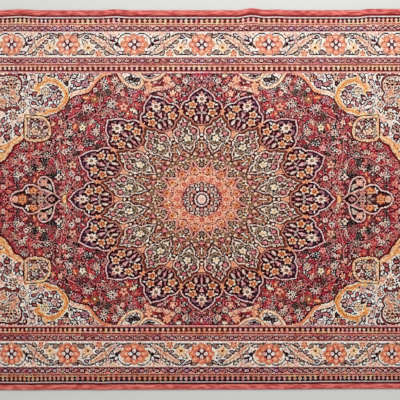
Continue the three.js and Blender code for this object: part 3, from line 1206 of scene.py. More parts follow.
# %% the field's flowers
FIELD_MEADOW = table("""
    kind reach colour line eye
    spray 4.4 leaf_black leaf_light
    brush 4.2 leaf_black leaf_mid
    spray 3.8 field_dark vine
    brush 4.2 ink leaf_light
    brush 3.8 salmon_deep garnet
    spray 4.2 leaf_black leaf_mid ink
    brush 3.8 leaf_light leaf_black
    spray 3.4 coral_red garnet apricot
    brush 4.2 leaf_black field_pale
""")
FIELD_STROKES = table("""
    light dark
    leaf_light leaf_black
    field_haze field_dark
    ground ink
    leaf_mid leaf_black
    vine field_dark
    ground_bright leaf_black
    field_pale garnet
""")
STEM_STROKES = [("pearl", "cell_salmon"), ("petal_peach", "rose"), ("straw", "salmon"), ("tan", "mauve")]
FIELD_FLOWERS = table("""
    kind x y reach colour line eye heading
    spray 103.8 82.6 4.6 pearl_white ink green 20
    spray 115.2 80.6 4 pearl_white plum ink 10
    leaf 112.9 73.6 2.2 lilac ink plum 10
    brush 101.6 95.4 5.6 field_haze green field_leaf 40
    spray 95.4 89.8 2.7 pearl_white plum plum
    leaf 86 97.8 3.6 orange rust gold 95
    star 94.8 99.2 4.4 ochre olive straw
    spray 77.4 100.6 4.6 lilac ink slate 15
    brush 71 108.8 4.8 slate ink rose -85
    brush 87.8 110.2 5.6 pearl_white ink field_leaf 20
    leaf 77.8 108.2 2.6 rose crimson pink 85
    spray 112.9 103.8 4.7 pearl_white ink ink
    brush 107.4 116.6 5.6 field_pale green field_leaf 5
    four 84.3 118.1 3.2 green crimson field_pale 45
    brush 71.9 119.4 4 field_pale plum maroon 175
    leaf 64.6 116 2.2 field_pale plum
    leaf 75 126.4 3.4 orange rust gold 30
    star 82.4 127.6 3.9 straw olive brown
    spray 69.2 132.6 3.9 pearl_white ink crimson
    spray 96.2 131.6 4.4 pearl_white green gold 20
    brush 92.6 123.4 3.6 leaf_light ink green -60
    brush 100.4 125 3.6 field_haze ink green 50
    disc 97.8 117 2.2 mauve maroon ink
    brush 119.2 113.4 3.4 field_pale ink rose -20
    brush 121.2 90.6 5 pearl_white ink pink -50
    star 122.6 93.6 3.2 salmon - pink
    star 123.6 107 4.8 salmon rust olive
    brush 133.4 94.2 4.6 lilac ink pink -15
    leaf 134.6 95.4 2.6 pink rose field_pale 60
    spray 123.2 100.2 3 field_pale green field_leaf 30
    fan 132.4 112.4 5.4 straw olive brown 35
    disc 127.8 113.8 2.4 orange rust gold
    leaf 135.8 116 2.8 field_pale plum - -30
    star 148.8 85.3 4.4 petal_peach coral_red pearl
    leaf 155.4 82.4 3 pearl crimson - 70
    daisy 167.2 79.7 5.2 petal_peach rose pearl
    leaf 160.6 89.6 2.6 star_peach rose - 60
    bud 159.7 84.2 3.8 field_pale ink - 10
    leaf 160.2 93.9 4 field_pale plum pearl_white -65
    leaf 168.8 91.5 2.8 field_leaf ink field_pale 20
    star 172.9 93.6 4.2 peach crimson straw
    leaf 177 94.6 2.6 coral crimson salmon 10
    spray 178.1 88.6 3.8 pearl_white green field_leaf
    spray 185 80.8 3.4 pearl_white ink green 30
    fan 178.6 76.8 4 straw olive peach 10
    leaf 171.3 75.4 2.2 lilac ink plum
    spray 195 79 4.8 lilac ink slate
    leaf 199.8 86.2 2.8 pink rose field_pale 80
    leaf 201.5 78 2.6 pink maroon pearl_white
    leaf 188.6 89 2.4 field_leaf green - 30
    leaf 196 86.4 1.8 field_haze green
    leaf 184.2 74.2 2.4 field_haze ink - 60
    brush 60.2 139 3.6 pearl_white ink field_leaf -40
    brush 66.6 145 4.6 pearl_white green field_leaf 20
    spray 64.4 151.9 3.2 pearl_white plum crimson 15
    star 80.6 148.1 4 pink maroon field_pale
    spray 74.4 151 2.8 field_haze plum ink
    brush 47.4 152 5.6 field_pale green lilac -25
    brush 36.6 155.4 5.2 leaf_light ink field_pale -5
    spray 26.3 146.6 3.6 field_leaf olive maroon
    spray 16.9 150.9 2.8 field_haze plum plum
    brush 21.6 160.6 5.2 pearl_white ink coral 35
    brush 10.4 161.4 3.8 field_pale green field_leaf 60
    brush 31.6 165.6 4.4 field_haze ink pearl_white -20
    brush 41.6 171 4.8 leaf_light green field_pale -30
    brush 52.6 172.6 5.6 field_haze green lilac -25
    four 58.8 177 4 pearl_white ink green
    spray 71.9 173.8 3.7 pearl_white plum ink
    star 72.6 164.8 4.6 salmon olive brown
    spray 30.7 174.6 3.8 slate ink pearl_white 20
    leaf 25 179.6 3.6 coral maroon orange 110
    brush 20.8 177.2 4.6 pearl_white ink slate -15
    leaf 37.4 174.2 2 orange rust
    leaf 34.6 180.4 2.4 orange rust gold 20
    spray 26 168 2.8 pearl_white plum plum
    leaf 15.4 180.4 2.6 lilac ink ink 20
    brush 7.2 169.6 4.4 field_pale green field_leaf -20
    spray 3.2 187.2 2.8 pearl_white green green
    leaf 9.4 192 4.6 coral maroon rose 100
    brush 62 189.6 4 field_pale green field_leaf 15
    spray 78 178.4 2.8 pearl_white green ink
    brush 76.2 186 3 field_haze green - 60
    four 5.6 196.6 2.6 field_pale maroon crimson
    leaf 4.8 199.2 2.6 field_pale maroon - 90
    disc 58.8 184.6 1.9 ink crimson ink
    leaf 83.6 139 2.8 field_haze ink field_pale 30
    leaf 53.6 141.4 3 field_pale ink field_leaf -25
    leaf 30.8 143.4 2.2 mauve maroon peach
    leaf 43.8 143.6 2 salmon rust
    leaf 51 134.4 2.2 coral maroon orange
    brush 60.4 127.6 4 field_haze ink lilac 200
    star 53 124 3 orange maroon gold
    brush 54 117.4 3.8 lilac ink plum -30
    star 60.6 122.4 3.4 peach maroon orange 20
    leaf 92.6 95 2.2 coral crimson - 60
    leaf 108.4 98.2 2.6 rose crimson pink 60
    spray -6 170.4 3.6 pearl_white ink rose
    brush -15 176.4 4.6 field_haze green field_leaf -20
    star -17.6 186 3.6 salmon olive brown
    brush -8.4 184.2 4.4 pearl_white ink coral 20
    star -10 194.4 4.6 peach maroon orange
    four -19.4 197 3.6 pearl_white ink green
    leaf -2 196 3 field_leaf ink field_pale 50
""")


# %% [markdown]
# ## The corners
# Each corner is a pale panel with a gold scroll, held from the field by an orange band.

# %% the corner's outlines
CORNER_EDGE = [
    (110, 72.4), (102.9, 74), (98.1, 77.6), (94.3, 81.4), (91, 85.6), (88.6, 89.3), (85.7, 90.6),
    (81.4, 91.8), (73.3, 93.8), (69.6, 96.6), (68, 101.4), (64.8, 106.2), (61.6, 109.4), (58, 112),
]
CORNER_BACK = [
    (58, 112), (52.4, 111.4), (47.6, 113.2), (44.3, 115.2), (38.1, 115.9), (28.6, 115.4), (25.9, 115.4),
    (25.7, 120), (25.7, 124.8), (26, 131), (24.6, 136), (20.6, 141.3), (13.8, 145.4), (11.2, 150.6),
    (6.4, 156.9), (3.6, 160.2), (-3, 162.4), (-12, 161.6), (-22, 158),
]
SCROLL = [
    (37.6, 91.6), (37.4, 86.4), (40.5, 83.6), (44.3, 81.6), (49, 80.4), (53.8, 81.2), (58.6, 83.6),
    (62.6, 87.6), (65.4, 91.4), (66.6, 95.4), (65.4, 99.8), (63, 103.6), (60.4, 107), (56, 109.4),
    (49.5, 110.8), (44.6, 113), (38.4, 114),
]
SQUARE_PANEL = [
    (26.4, 117.2), (32.4, 117.2), (38.6, 117.4), (43.4, 118.6), (46.6, 121.2), (48.6, 124.8), (49.4, 129.6),
    (49.4, 133.6), (48.4, 136.4), (45.4, 138.8), (40, 139.9), (34, 140.2), (28.6, 139.4), (26.2, 137.6),
    (26, 130), (26, 123),
]
LOBED_PANEL = [
    (-3, 75.6), (0, 75.8), (3.8, 76.3), (7.1, 75.3), (11.4, 75.1), (15.7, 76.1), (19, 78.2), (21, 81.6),
    (21.2, 86.2), (20, 90), (18.2, 92.9), (19.6, 95.7), (20.4, 98.2), (19, 100.6), (18.3, 103.4),
    (18.7, 106.2), (18.8, 108.6), (16, 108), (11.9, 107.2), (8.1, 108.6), (5.2, 110.2), (2.4, 109.8),
    (-1, 108.4), (-5, 109.6), (-11, 107.4), (-13.4, 102), (-11.6, 96), (-13.6, 90), (-12, 82.6), (-8, 77.6),
]

# %% [markdown]
# The grounds come before the flowers: the pale ground to its orange band, then the gold scroll, the
# wide gold lobe and the panels, each with its own small leaves strewn on it.

# %% the corner's grounds
# Each row of these lists is a light yarn and a dark one.
GOLD_STROKES = [("straw", "orange"), ("band_yellow", "peach"), ("cream", "lancet_orange"), ("gold", "orange")]
PANEL_STROKES = [
    ("straw_pale", "green"), ("cream", "leaf_green"), ("tan", "slate"), ("peach_pale", "maroon"),
    ("sage", "leaf_black"),
]
SQUARE_STROKES = [("straw", "olive"), ("tan", "slate"), ("lobe_cream", "sage"), ("mauve", "maroon")]


def shifted(places, right, down):
    """The same places, moved by so many squares."""
    return [(x + right, y + down) for x, y in places]


def corner_ground(paper):
    """The corner's pale ground inside its orange band, with the gold scroll and the three panels."""
    edge, back = smooth(CORNER_EDGE), smooth(CORNER_BACK)
    outline = np.vstack([[(-23, 71), (112, 71)], edge, back, [(-23, 158)]])
    paper.line(CORNER_EDGE[:10], 7.2, "maroon")
    paper.line(CORNER_EDGE[9:], 3.0, "maroon")
    paper.line(CORNER_BACK[:9], 4.2, "maroon")
    paper.line(CORNER_BACK[8:], 4.6, "maroon")
    paper.area(outline, "corner_pale", straight=True)
    paper.line(shifted(CORNER_EDGE[3:10], -0.8, -1.0), 4.6, "slate")
    paper.line(CORNER_EDGE[:10], 4.4, "peach_pale")
    paper.line(shifted(CORNER_EDGE[:7], 0.5, 0.8), 2.8, "apricot")
    paper.line(shifted(CORNER_EDGE[:8], 0.9, 1.4), 1.2, "orange")
    paper.line(SCROLL, 6.8, "straw_pale")
    paper.line(SCROLL, 5.0, "gold")
    paper.line(shifted(SCROLL[1:-1], 0.5, 0.3), 1.3, "orange")
    paper.line(CORNER_EDGE[9:], 1.1, "brown")
    paper.line(CORNER_BACK[4:9], 3.4, "gold")
    kept_to(paper, "gold", strokes, 2.8, 63, (20, 70, 76, 120), GOLD_STROKES, (0.8, 1.7), 1.1)


def corner_lobe(paper):
    """The lowest lobe's wide gold band, and its flowers."""
    course = [
        (25.2, 126), (24.6, 132), (20.4, 138.6), (13, 142.6), (9.6, 148.6), (4.4, 154.6), (-3, 157.6),
        (-12, 156.4), (-23, 153),
    ]
    inner = [
        (22.4, 126), (21.6, 131), (17.4, 136.4), (10.6, 140.6), (6.4, 143.2), (0, 145), (-8, 145), (-23, 142),
    ]
    paper.area(np.vstack([smooth(CORNER_BACK[8:]), smooth(inner)[::-1]]), "gold", straight=True)
    kept_to(paper, "gold", strokes, 3.0, 64, (-22, 30, 116, 170), GOLD_STROKES, (1.0, 2.0), 1.2)
    paper.line(course, 1.2, "cream")
    paper.line(shifted(course, -1.6, -2.4), 0.9, "orange")
    paper.line(inner, 1.0, "ivory")
    paper.leaf(-4, 150.6, 4, 151.4, 2.4, "blush", "slate")


def panels(paper):
    """The two-lobed panel and the square panel, each with its own line and ground."""
    paper.area(LOBED_PANEL, "panel_tan")
    kept_to(paper, "panel_tan", strokes, 3.2, 61, (-14, 22, 75, 110), PANEL_STROKES, (1.2, 2.4))
    paper.line(LOBED_PANEL + LOBED_PANEL[:1], 3.1, "dusk_red")
    paper.line([(x * 0.92 + 0.6, (y - 92) * 0.92 + 92) for x, y in LOBED_PANEL[:16]], 0.8, "cream")
    frame_line = smooth(SQUARE_PANEL, closed=True)
    frame_closed = np.vstack([frame_line, frame_line[:1]])
    paper.line(frame_closed, 4.8, "maroon", straight=True)
    for x, y in frame_line[18:66:3]:
        paper.oval(x + 0.17 * (x - 37), y + 0.17 * (y - 128), 1.1, 1.1, "maroon")
    paper.line(frame_closed, 2.9, "gold", straight=True)
    kept_to(paper, "gold", strokes, 2.6, 65, (22, 54, 112, 145), GOLD_STROKES, (0.8, 1.4), 1.0)
    paper.area(frame_line, "panel_pink", straight=True)
    kept_to(paper, "panel_pink", strokes, 3.8, 62, (26, 51, 116, 141), SQUARE_STROKES, (1.1, 2.0), 1.1)
    inner = (frame_line - (37.6, 128)) * 0.88 + (37.6, 128)
    paper.line(np.vstack([inner, inner[:1]]), 0.9, "olive", straight=True)
    paper.line([(29.4, 121.4), (34, 124.6), (40, 129)], 1.2, "slate")


# %% [markdown]
# The corner's own flowers: every one that can be told in the photograph is a row, and the ground between
# them is a meadow of small leaves and buds.

# %% the corner's flowers
CORNER_MEADOW = table("""
    kind reach colour line eye
    leaf 2.3 corner_pale plum_dark
    leaf 2.1 ivory green
    bud 3 corner_pale dusk
    bud 3.2 ivory green
    leaf 2.4 corner_pale plum
    brush 3.4 corner_pale plum_dark
    leaf 1.9 pearl maroon
""")
CORNER_STEMS = [
    [(27.1, 90), (27.3, 94), (28.4, 98.5), (29.8, 104), (31.5, 108)],
    [(28.4, 98.5), (33.3, 101.2), (37.1, 102.4), (42.5, 105.5)],
    [(35.5, 101.6), (40.5, 99.4), (46.7, 98.8), (51, 97)],
    [(50.5, 99.6), (54, 103), (57.4, 106.2)],
    [(29.8, 82), (28.4, 87), (27.3, 91)],
    [(71, 81), (71.4, 86), (70.6, 90), (68.8, 93.8)],
    [(80.5, 73), (80.2, 78), (80.6, 83)],
    [(71.4, 84), (76, 78), (81, 79)],
    [(5.7, 95), (10, 99.6), (15.2, 104.8)],
    [(3.4, 96.6), (8, 101), (12.4, 105.4)],
    [(29.5, 120.4), (33.8, 123.6), (38.4, 127.4)],
    [(6, 124), (9, 130), (12, 136)],
    [(21.6, 122), (18.6, 128), (14, 136)],
    [(-16, 114), (-10, 122), (-6, 132)],
]
CORNER_FLOWERS = table("""
    kind x y reach colour line eye heading
    disc 11 84.6 5.2 brown dusk maroon
    spray 11 84.6 4.8 tan umber maroon
    leaf 4.2 83 1.9 mauve maroon - 80
    leaf 16.7 83.4 1.7 maroon - - 90
    fan 11.4 80.2 3.6 cream olive olive
    fan 2.4 92.8 4.8 sage ink grey -10
    leaf 12.6 92.4 3.4 salmon tan apricot -35
    leaf 14.6 96.6 2.2 apricot - - -60
    leaf 3.2 101.4 3.6 salmon tan orange 80
    leaf 12.6 101.4 4.2 mist slate grey 135
    leaf 16.6 99.6 1.8 cream tan - 20
    leaf -6 98 3.2 salmon tan - -60
    leaf -4 84 2.4 mauve maroon - 70
    disc 23.2 104.9 4.4 dusk white white
    spray 23.2 104.9 3.3 tan umber dusk
    disc 13.1 116 5.4 brown white white
    spray 13.1 116 4.4 tan umber dusk
    leaf 13.1 116 1.6 straw brown - 45
    leaf 19.5 74 2 maroon dusk - 100
    leaf 25.3 76.8 2.2 tan maroon dusk
    disc 33 77.4 2.7 tan dusk blush
    leaf 25.8 83 2.5 petal_lilac plum plum 45
    spray 31 86.6 3.4 mist green green
    leaf 34.4 82.8 1.2 maroon
    brush 27 93.2 4.2 mist maroon slate
    leaf 22.8 89.6 1.8 white dusk - 30
    disc 33.8 94.4 2.9 pink maroon pink
    leaf 34.6 93.4 1.9 mauve maroon - 60
    bud 32.6 112.8 4.8 mist dusk
    leaf 34 103.4 2.2 mauve maroon - 115
    leaf 39 98.4 2.2 mist slate - 70
    leaf 40.4 102.4 2.2 white dusk - 140
    disc 45.5 91.8 4.7 tan green tan
    spray 45.5 91.8 4 straw brown orange
    leaf 54.2 87.8 3.6 petal_lilac plum plum 85
    daisy 55 96.9 4.4 mist slate lilac
    leaf 58.6 93.4 2.4 mist slate grey 10
    leaf 59.8 97.4 2.3 mist dusk - 70
    leaf 49.2 99.6 2.2 mauve plum - 120
    leaf 55.2 102.2 2.4 white slate
    leaf 58.2 101.8 2.2 white slate - 10
    leaf 53.4 105.8 2.5 mauve maroon - 110
    leaf 46.4 104 2.3 mauve maroon - 20
    spray 41.4 109.6 4 mist maroon tan
    leaf 45 110.6 1.6 maroon - - 80
    leaf 37.8 110.6 1.4 maroon - - 80
    leaf 41.4 75 3.2 white green slate 50
    leaf 39.8 80.2 2.4 mist slate - 10
    leaf 51.6 75 3.2 mist green grey 130
    leaf 48.4 74 2.2 white green - 90
    leaf 45.8 77.2 1.8 gold tan
    star 61.2 75.6 3.6 mauve maroon maroon
    star 66.2 78.6 3.2 tan brown olive 20
    leaf 66.8 83.6 1.9 green ink
    leaf 74.4 76.4 3 white green sage 70
    leaf 70.4 74 1.8 mist slate - 120
    leaf 73.8 82.6 2.6 pink maroon rose 120
    leaf 77.6 84.4 3 pink maroon rose 110
    leaf 74.4 87.8 2 white green - 60
    bud 83.8 77.6 4 ivory grey
    daisy 85 83.8 3.8 lilac plum_dark plum_dark
    star 90.8 79.2 2.6 orange maroon ink
    leaf 88.4 77 1.9 mauve maroon - 20
    leaf 95.2 74.6 2.9 mist slate grey 70
    leaf 69.6 89.6 1.6 mist green
    disc 41 123 1.5 mauve panel_pink rust
    star 33.6 135.6 2.8 mauve maroon cream
    leaf 32 120.8 1.9 grey green - 80
    leaf 36.8 121.2 1.7 sage green - 50
    leaf 30.2 125.4 1.6 mauve maroon - 20
    leaf 38.4 127 2.4 slate - - 125
    star 40.8 123.2 2.2 mauve plum pink
    leaf 45.2 127.6 1.9 slate maroon - 50
    leaf 41.8 131.2 1.3 brown olive
    star 33.6 131.6 4.4 panel_tan olive tan
    leaf 30.6 133.8 1.6 straw olive - -40
    leaf 35.2 136.4 1.6 mauve dusk - 80
    leaf 40.2 136.2 1.4 tan dusk - 100
    leaf 45 134.4 1.9 mist slate - 60
    star 7.2 127.2 3.6 sage maroon dusk
    bud 16.2 130.2 4.2 mauve maroon - 10
    leaf 17.6 133.4 2.8 mauve maroon - 120
    leaf 21.4 125.4 2.6 white green - 30
    leaf 9.4 131.4 3.2 mist green grey 40
    leaf 2.9 120.8 2.6 mauve ink - 10
    leaf 20.4 119.6 2.8 blush salmon - 60
    leaf 6.9 136.6 2.4 mauve maroon - 80
    leaf 0.6 134.2 2.4 mauve maroon - 20
    disc -13 118.4 4.6 brown dusk tan
    bud -8 132 4.4 maroon rose - -10
    leaf -17 128 3 mist green - 20
    star -2.6 127.4 3 tan brown maroon
    star -17.4 84 3.6 mauve maroon cream
    leaf -17.2 96 3.2 mist slate - 10
    disc -17 106 3.4 tan brown dusk
""")


# %% [markdown]
# ## The side cartouches and the pendant
# Half a cartouche leans out of the border in the middle of each long side, and a pendant of three
# flowers joins each end of the medallion to the field.

# %% cartouches and pendant
CARTOUCHE = [
    (118, 72.6), (120.4, 76.6), (123.8, 81.3), (128.8, 85.2), (136.3, 87.5), (141.2, 85.2), (142.2, 81.9),
    (139.6, 77.6), (137, 74.6), (133, 72.4), (126, 71.4),
]
PENDANT = [
    (10.3, 199.6), (11.4, 196.4), (12.8, 193.8), (16.9, 191.4), (21.3, 190.5), (23.3, 188.8), (26.3, 185.8),
    (30, 184.5), (33.8, 185), (37.5, 186.9), (40.8, 189.4), (45, 190.1), (48.1, 191.9), (51.3, 194.4),
    (54.4, 197), (56.6, 199.6),
]
SIDE_DROP = [
    (40.4, 189.4), (39, 186), (38.4, 181.4), (40.2, 177.8), (43.4, 176.6), (47.5, 177.6), (51.3, 180.8),
    (53.2, 185), (54.2, 190), (54.6, 194.4), (51, 192.8), (46.6, 190.6),
]
MEDALLION_LINK = [(44.6, 199.6), (47.2, 195.8), (51.9, 193.6), (56.5, 195.4), (60, 198.8), (61, 199.6)]
PENDANT_FLOWERS = table("""
    kind x y reach colour line eye heading
    disc 15.2 199.3 3.9 panel_tan mauve peach
    daisy 22.6 199.1 4.6 petal_orange petal_eye maroon
    disc 22.6 199.2 1.5 petal_peach maroon tan
    leaf 17.4 194.4 1.8 petal_blue - - 60
    star 27.9 190.9 3.1 star_peach - mauve
    star 33.4 191.1 3.7 orange petal_eye maroon
    leaf 38 190.4 1.4 petal_lilac - - 120
    leaf 27.4 195.2 2 petal_blue - - 100
    leaf 34.2 196.6 2.8 lobe_grey slate - 130
    leaf 30.7 199.6 2.8 grey slate - 90
    star 40.8 193.3 3.1 cell_salmon - coral
    leaf 45.2 194 1.8 petal_lilac - - 110
    four 40.8 199.3 4 lobe_grey - maroon 45
    leaf 36.4 199.4 1.6 lobe_olive - - 90
    four 43.8 182.8 4.6 cell_salmon - coral 45
    disc 43.8 182.8 2.4 petal_peach pearl tan
    leaf 50.1 187.2 3.8 lobe_grey - lobe_cream 155
    leaf 47.4 186.9 1.6 tan - - 60
    star 51.6 199.3 3.4 star_mauve - maroon
    leaf 47.2 199 1.4 dusk - - 90
""")


def cartouches(paper):
    """The half leaf and the half lobe that lean out of the long border, gold-edged, with dark leaves."""
    lobe = [(139.2, 72), (142.4, 77.4), (148, 80.2), (154.4, 79.4), (160, 76.9), (165.4, 72)]
    paper.area(CARTOUCHE, "ivory", "dusk", 4.2)
    paper.line(CARTOUCHE + CARTOUCHE[:1], 3.2, "apricot")
    paper.line(CARTOUCHE + CARTOUCHE[:1], 1.6, "straw")
    paper.area(lobe, "cream", "dusk", 3.8, straight=True)
    paper.line(lobe, 2.8, "apricot")
    paper.line(lobe, 1.2, "straw")
    paper.leaf(143, 73.4, 154.6, 75.8, 3.2, "slate", "ink", vein="lilac")
    paper.bud(148.4, 75.4, 3.2, "ink", heading=150)
    for x, y, heading, colour in (
        (127.6, 78.6, 60, "grey"), (130.8, 77.4, 10, "slate"), (131.4, 81.2, 100, "grey"),
        (134.6, 79.4, 70, "slate"), (136.0, 82.6, 150, "grey"), (137.6, 80.0, 60, "slate"),
    ):
        sprig(paper, "leaf", x, y, 2.0, colour, "leaf_black", heading=heading)


def pendant(paper):
    """The pendant, its side drop, and the red link to the medallion."""
    for shape in (SIDE_DROP, PENDANT):
        paper.line(shape, 3.4, "maroon")
    paper.area(SIDE_DROP, "wine", "petal_line", 1.4, inner=[(2.0, "leaf_black")])
    held = np.vstack([smooth(PENDANT), [(57, 201), (10, 201)]])
    paper.area(held, "wine", straight=True, inner=[(2.0, "leaf_black")])
    paper.line(PENDANT, 1.4, "petal_line")
    paper.line(shifted(PENDANT[9:14], 0, 1.8), 0.9, "mauve")
    link = np.vstack([smooth(MEDALLION_LINK), [(60, 201), (45, 201)]])
    paper.area(link, "wine", straight=True, inner=[(2.2, "leaf_black")])
    paper.line(MEDALLION_LINK, 1.3, "cell_salmon")
    paper.leaf(57.6, 199.6, 62, 199.4, 2.4, "ink")
    paper.oval(62.8, 199.4, 1.8, 2.4, "grey")
    paper.leaf(65.0, 194.6, 64.8, 204, 3.4, "gold", "brown", bend=0.8)
    for row in PENDANT_FLOWERS:
        sprig(paper, *row)


# %% [markdown]
# The very middle is drawn last and over everything: rings of small flowers and cells, sixteen round,
# so it too is a few ovals in a loop over the angle.

# %% the middle
MIDDLE = (PHOTO_MIDDLE_X, PHOTO_MIDDLE_Y)
MIDDLE_CELLS = [
    # colour, half width; from straight above the middle, each a sixteenth of a turn on
    ("star_mauve", 1.7), ("peach_pale", 1.2), ("cell_salmon", 1.8), ("petal_peach", 1.2),
]


def middle(paper):
    """The rings round the middle: grey flowers, sixteen coloured cells, a scalloped ring and a disc."""
    x, y = MIDDLE
    paper.ovals(x, y, (17.4, 17.4, "pearl"), (12.9, 12.9, "umber_red"))
    for k in range(-1, 6):
        # the cell past the quarter's end mirrors the last one inside it
        colour, half = MIDDLE_CELLS[k % 4 if k < 5 else 3]
        turn = np.radians(SIXTEENTH * k)
        ahead = np.array([-np.sin(turn), -np.cos(turn)])
        aside = np.array([ahead[1], -ahead[0]])
        place = np.add(MIDDLE, 15.2 * ahead)
        paper.leaf(*(place + 2.9 * aside), *(place - 2.9 * aside), 4.6, "leaf_green")
        paper.oval(*place, 2.3, 2.4, "leaf_green")
        paper.oval(*np.add(MIDDLE, 14.8 * ahead), 1.4, 1.5, "lobe_grey")
        paper.oval(*np.add(MIDDLE, 14.0 * ahead), 0.8, 0.8, "pearl")
        paper.oval(*np.add(MIDDLE, 10.7 * ahead), half, half + 0.3, colour)
    paper.ovals(x, y, (8.1, 8.1, "dusk"), (7.4, 7.4, "pearl"))
    for k in range(-1, 10):
        turn = np.radians(SIXTEENTH / 2 + SIXTEENTH * k)
        paper.oval(x - 7.6 * np.sin(turn), y - 7.6 * np.cos(turn), 0.7, 0.7, "dusk")
    paper.ovals(x, y, (5.9, 5.9, "maroon"), (4.2, 4.2, "middle_peach"))


# %% the whole quarter
def field_paper():
    """Ground, specks, vines, flowers, corner, cartouches, pendant and middle, in that order."""
    paper = Paper(*FIELD_SPAN, 4, "ground")
    scatter(paper, 1200, 11, FIELD_SPAN, ["garnet", "crimson", "ground_bright", "rose"], (0.8, 2.0))
    strokes(paper, 3.5, 12, FIELD_SPAN, FIELD_STROKES, (1.5, 2.9), 1.2)
    scatter(paper, 700, 16, FIELD_SPAN, ["ink", "leaf_black", "field_dark"], (0.9, 1.7))
    meadow(paper, FIELD_SPAN, 7.6, 15, FIELD_MEADOW)
    vines(paper)
    for kind, x, y, reach, *looks in FIELD_FLOWERS:
        sprig(paper, kind, x, y, 0.88 * reach, *looks)
    paper.line([(146, 92), (152, 90), (157.5, 88.8), (165, 87.4), (173, 84.2)], 4.4, "star_peach")
    kept_to(paper, "star_peach", strokes, 2.6, 66, (143, 176, 81, 95), STEM_STROKES, (1.0, 2.2), 1.1)
    corner_ground(paper)
    kept_to(paper, "corner_pale", meadow, (-22, 112, 72, 158), 6.6, 23, CORNER_MEADOW)
    corner_lobe(paper)
    panels(paper)
    for course in CORNER_STEMS:
        paper.line(course, 2.2, "white")
        paper.line(course, 0.9, "slate")
    for row in CORNER_FLOWERS:
        sprig(paper, *row)
    cartouches(paper)
    pendant(paper)
    middle(paper)
    return paper


FIELD = field_paper()
print("field quarter:", FIELD.cells.shape, "samples")

# %% [markdown]
# ## From the charts to the knots
# The quarter of the rug is now looked up: for the middle of every sample, how far it is from the edges
# says which chart it belongs to, and where on it. The end borders are the side ones turned a quarter,
# and squeezed a little along the rug, as the parts of them that show in the photograph suggest.

# %% the quarter's yarns
PILE_HALF_LONG, PILE_HALF_WIDE = 1.0, 0.68
TUFTS_LONG, TUFTS_WIDE = 800, 510
TUFT_LONG, TUFT_WIDE = 2 * PILE_HALF_LONG / TUFTS_LONG, 2 * PILE_HALF_WIDE / TUFTS_WIDE
HALF_LONG, HALF_WIDE = PILE_HALF_LONG / SQUARE, PILE_HALF_WIDE / SQUARE
SQUEEZE = 0.824
MEDALLION_STRETCH = 1.19
BORDER_START, BORDER_DEEP = 14.67, 73.2
SIDE_STRETCH = (0, 134.6, 190.06, 246.8, 277.6), (0, 134.6, 201.9, 269.2, 300.0)
END_STRETCH = 134.6 / 154.75


def look_up(paper, x, y):
    """The yarn numbers of a chart at these places: each takes its nearest sample."""
    across = np.clip(np.rint((x - paper.x[0]) * paper.fine).astype(int), 0, len(paper.x) - 1)
    down = np.clip(np.rint((y - paper.y[0]) * paper.fine).astype(int), 0, len(paper.y) - 1)
    return paper.cells[down, across]


def mirrored(along):
    """Folds a distance along the border into its unit: the remainder of two units, turned back past one."""
    turn = along % (2 * BORDER_UNIT)
    return np.minimum(turn, 2 * BORDER_UNIT - turn)


def quarter_of_yarns():
    """The yarn of every tuft in the rug's upper left quarter, from its middle outwards."""
    out = (np.arange(TUFTS_LONG // 2) + 0.5) * TUFT_LONG / SQUARE
    up = (np.arange(TUFTS_WIDE // 2) + 0.5) * TUFT_WIDE / SQUARE
    ax, by = out[None, :] + 0 * up[:, None], up[:, None] + 0 * out[None, :]
    yarns = look_up(FIELD, PHOTO_MIDDLE_X - ax, PHOTO_MIDDLE_Y - by)
    u = ax / MEDALLION_STRETCH
    far, angle = np.hypot(u, by), np.arctan2(u, by)
    step = np.radians(SIXTEENTH)
    folded = np.abs((angle + step / 2) % step - step / 2)
    wedge = look_up(MEDALLION, far * np.sin(folded), far * np.cos(folded))
    on = (far < MEDALLION_REACH) & (wedge != NUMBER["clear"])
    yarns = np.where(on, wedge, yarns)
    side = BORDER_START + HALF_WIDE - by
    end = BORDER_START + (HALF_LONG - ax) / SQUEEZE
    along_side = np.interp(ax, *SIDE_STRETCH)
    along = np.where(side < end, along_side, by * END_STRETCH)
    row = np.minimum(side, end)
    return np.where(row < BORDER_DEEP, look_up(BORDER, mirrored(along), row), yarns)


# %% [markdown]
# ## New bobbins
# In the photograph the small pegs and knobs of the narrow bands are orange here, pink or yellow there,
# with no rule. In the mill a bobbin runs out and the next one's dye differs. It could be noise in the
# material, but a real change has a sharp end and is as long as its thread, so it is done on the chart.

# %% new bobbins
BOBBINS = {
    "band_light": ["band_light", "band_yellow", "band_pink", "band_light"],
    "light_knob": ["light_knob", "band_yellow", "band_pink"],
    "band_dark": ["band_dark", "band_purple", "band_brown"],
    "plum_line": ["plum_line", "ring_violet", "ring_slate", "dusk"],
    "guard_light": ["guard_light", "band_pink", "guard_lilac"],
    "guard_rose": ["guard_rose", "guard", "mauve"],
}
ZONES, RUNS = 34, 90
RUN_KNOTS = (10, 34)


def changed_bobbins(yarns):
    """Where one bobbin ends, the next may be of another dye: some yarns change their tint along the rug.

    Along the rug the changes come after 10 to 33 knots, across it after each 15, both seeded.
    """
    draw = np.random.default_rng(41)
    zone = np.arange(yarns.shape[0])[:, None] * ZONES // yarns.shape[0]
    for name, others in BOBBINS.items():
        ends = np.cumsum(draw.integers(*RUN_KNOTS, (ZONES, RUNS)), axis=1)
        run = (np.arange(yarns.shape[1])[None, :] >= ends[:, :, None]).sum(1)
        tints = np.array([NUMBER[other] for other in others])
        picks = tints[draw.integers(len(others), size=(ZONES, RUNS + 1))]
        yarns = np.where(yarns == NUMBER[name], picks[zone, run[zone[:, 0]]], yarns)
    return yarns


QUARTER = quarter_of_yarns()
YARN_MAP = np.hstack([QUARTER[:, ::-1], QUARTER])
YARN_MAP = changed_bobbins(np.vstack([YARN_MAP[::-1], YARN_MAP]))
print("tufts in the whole rug:", YARN_MAP.shape)

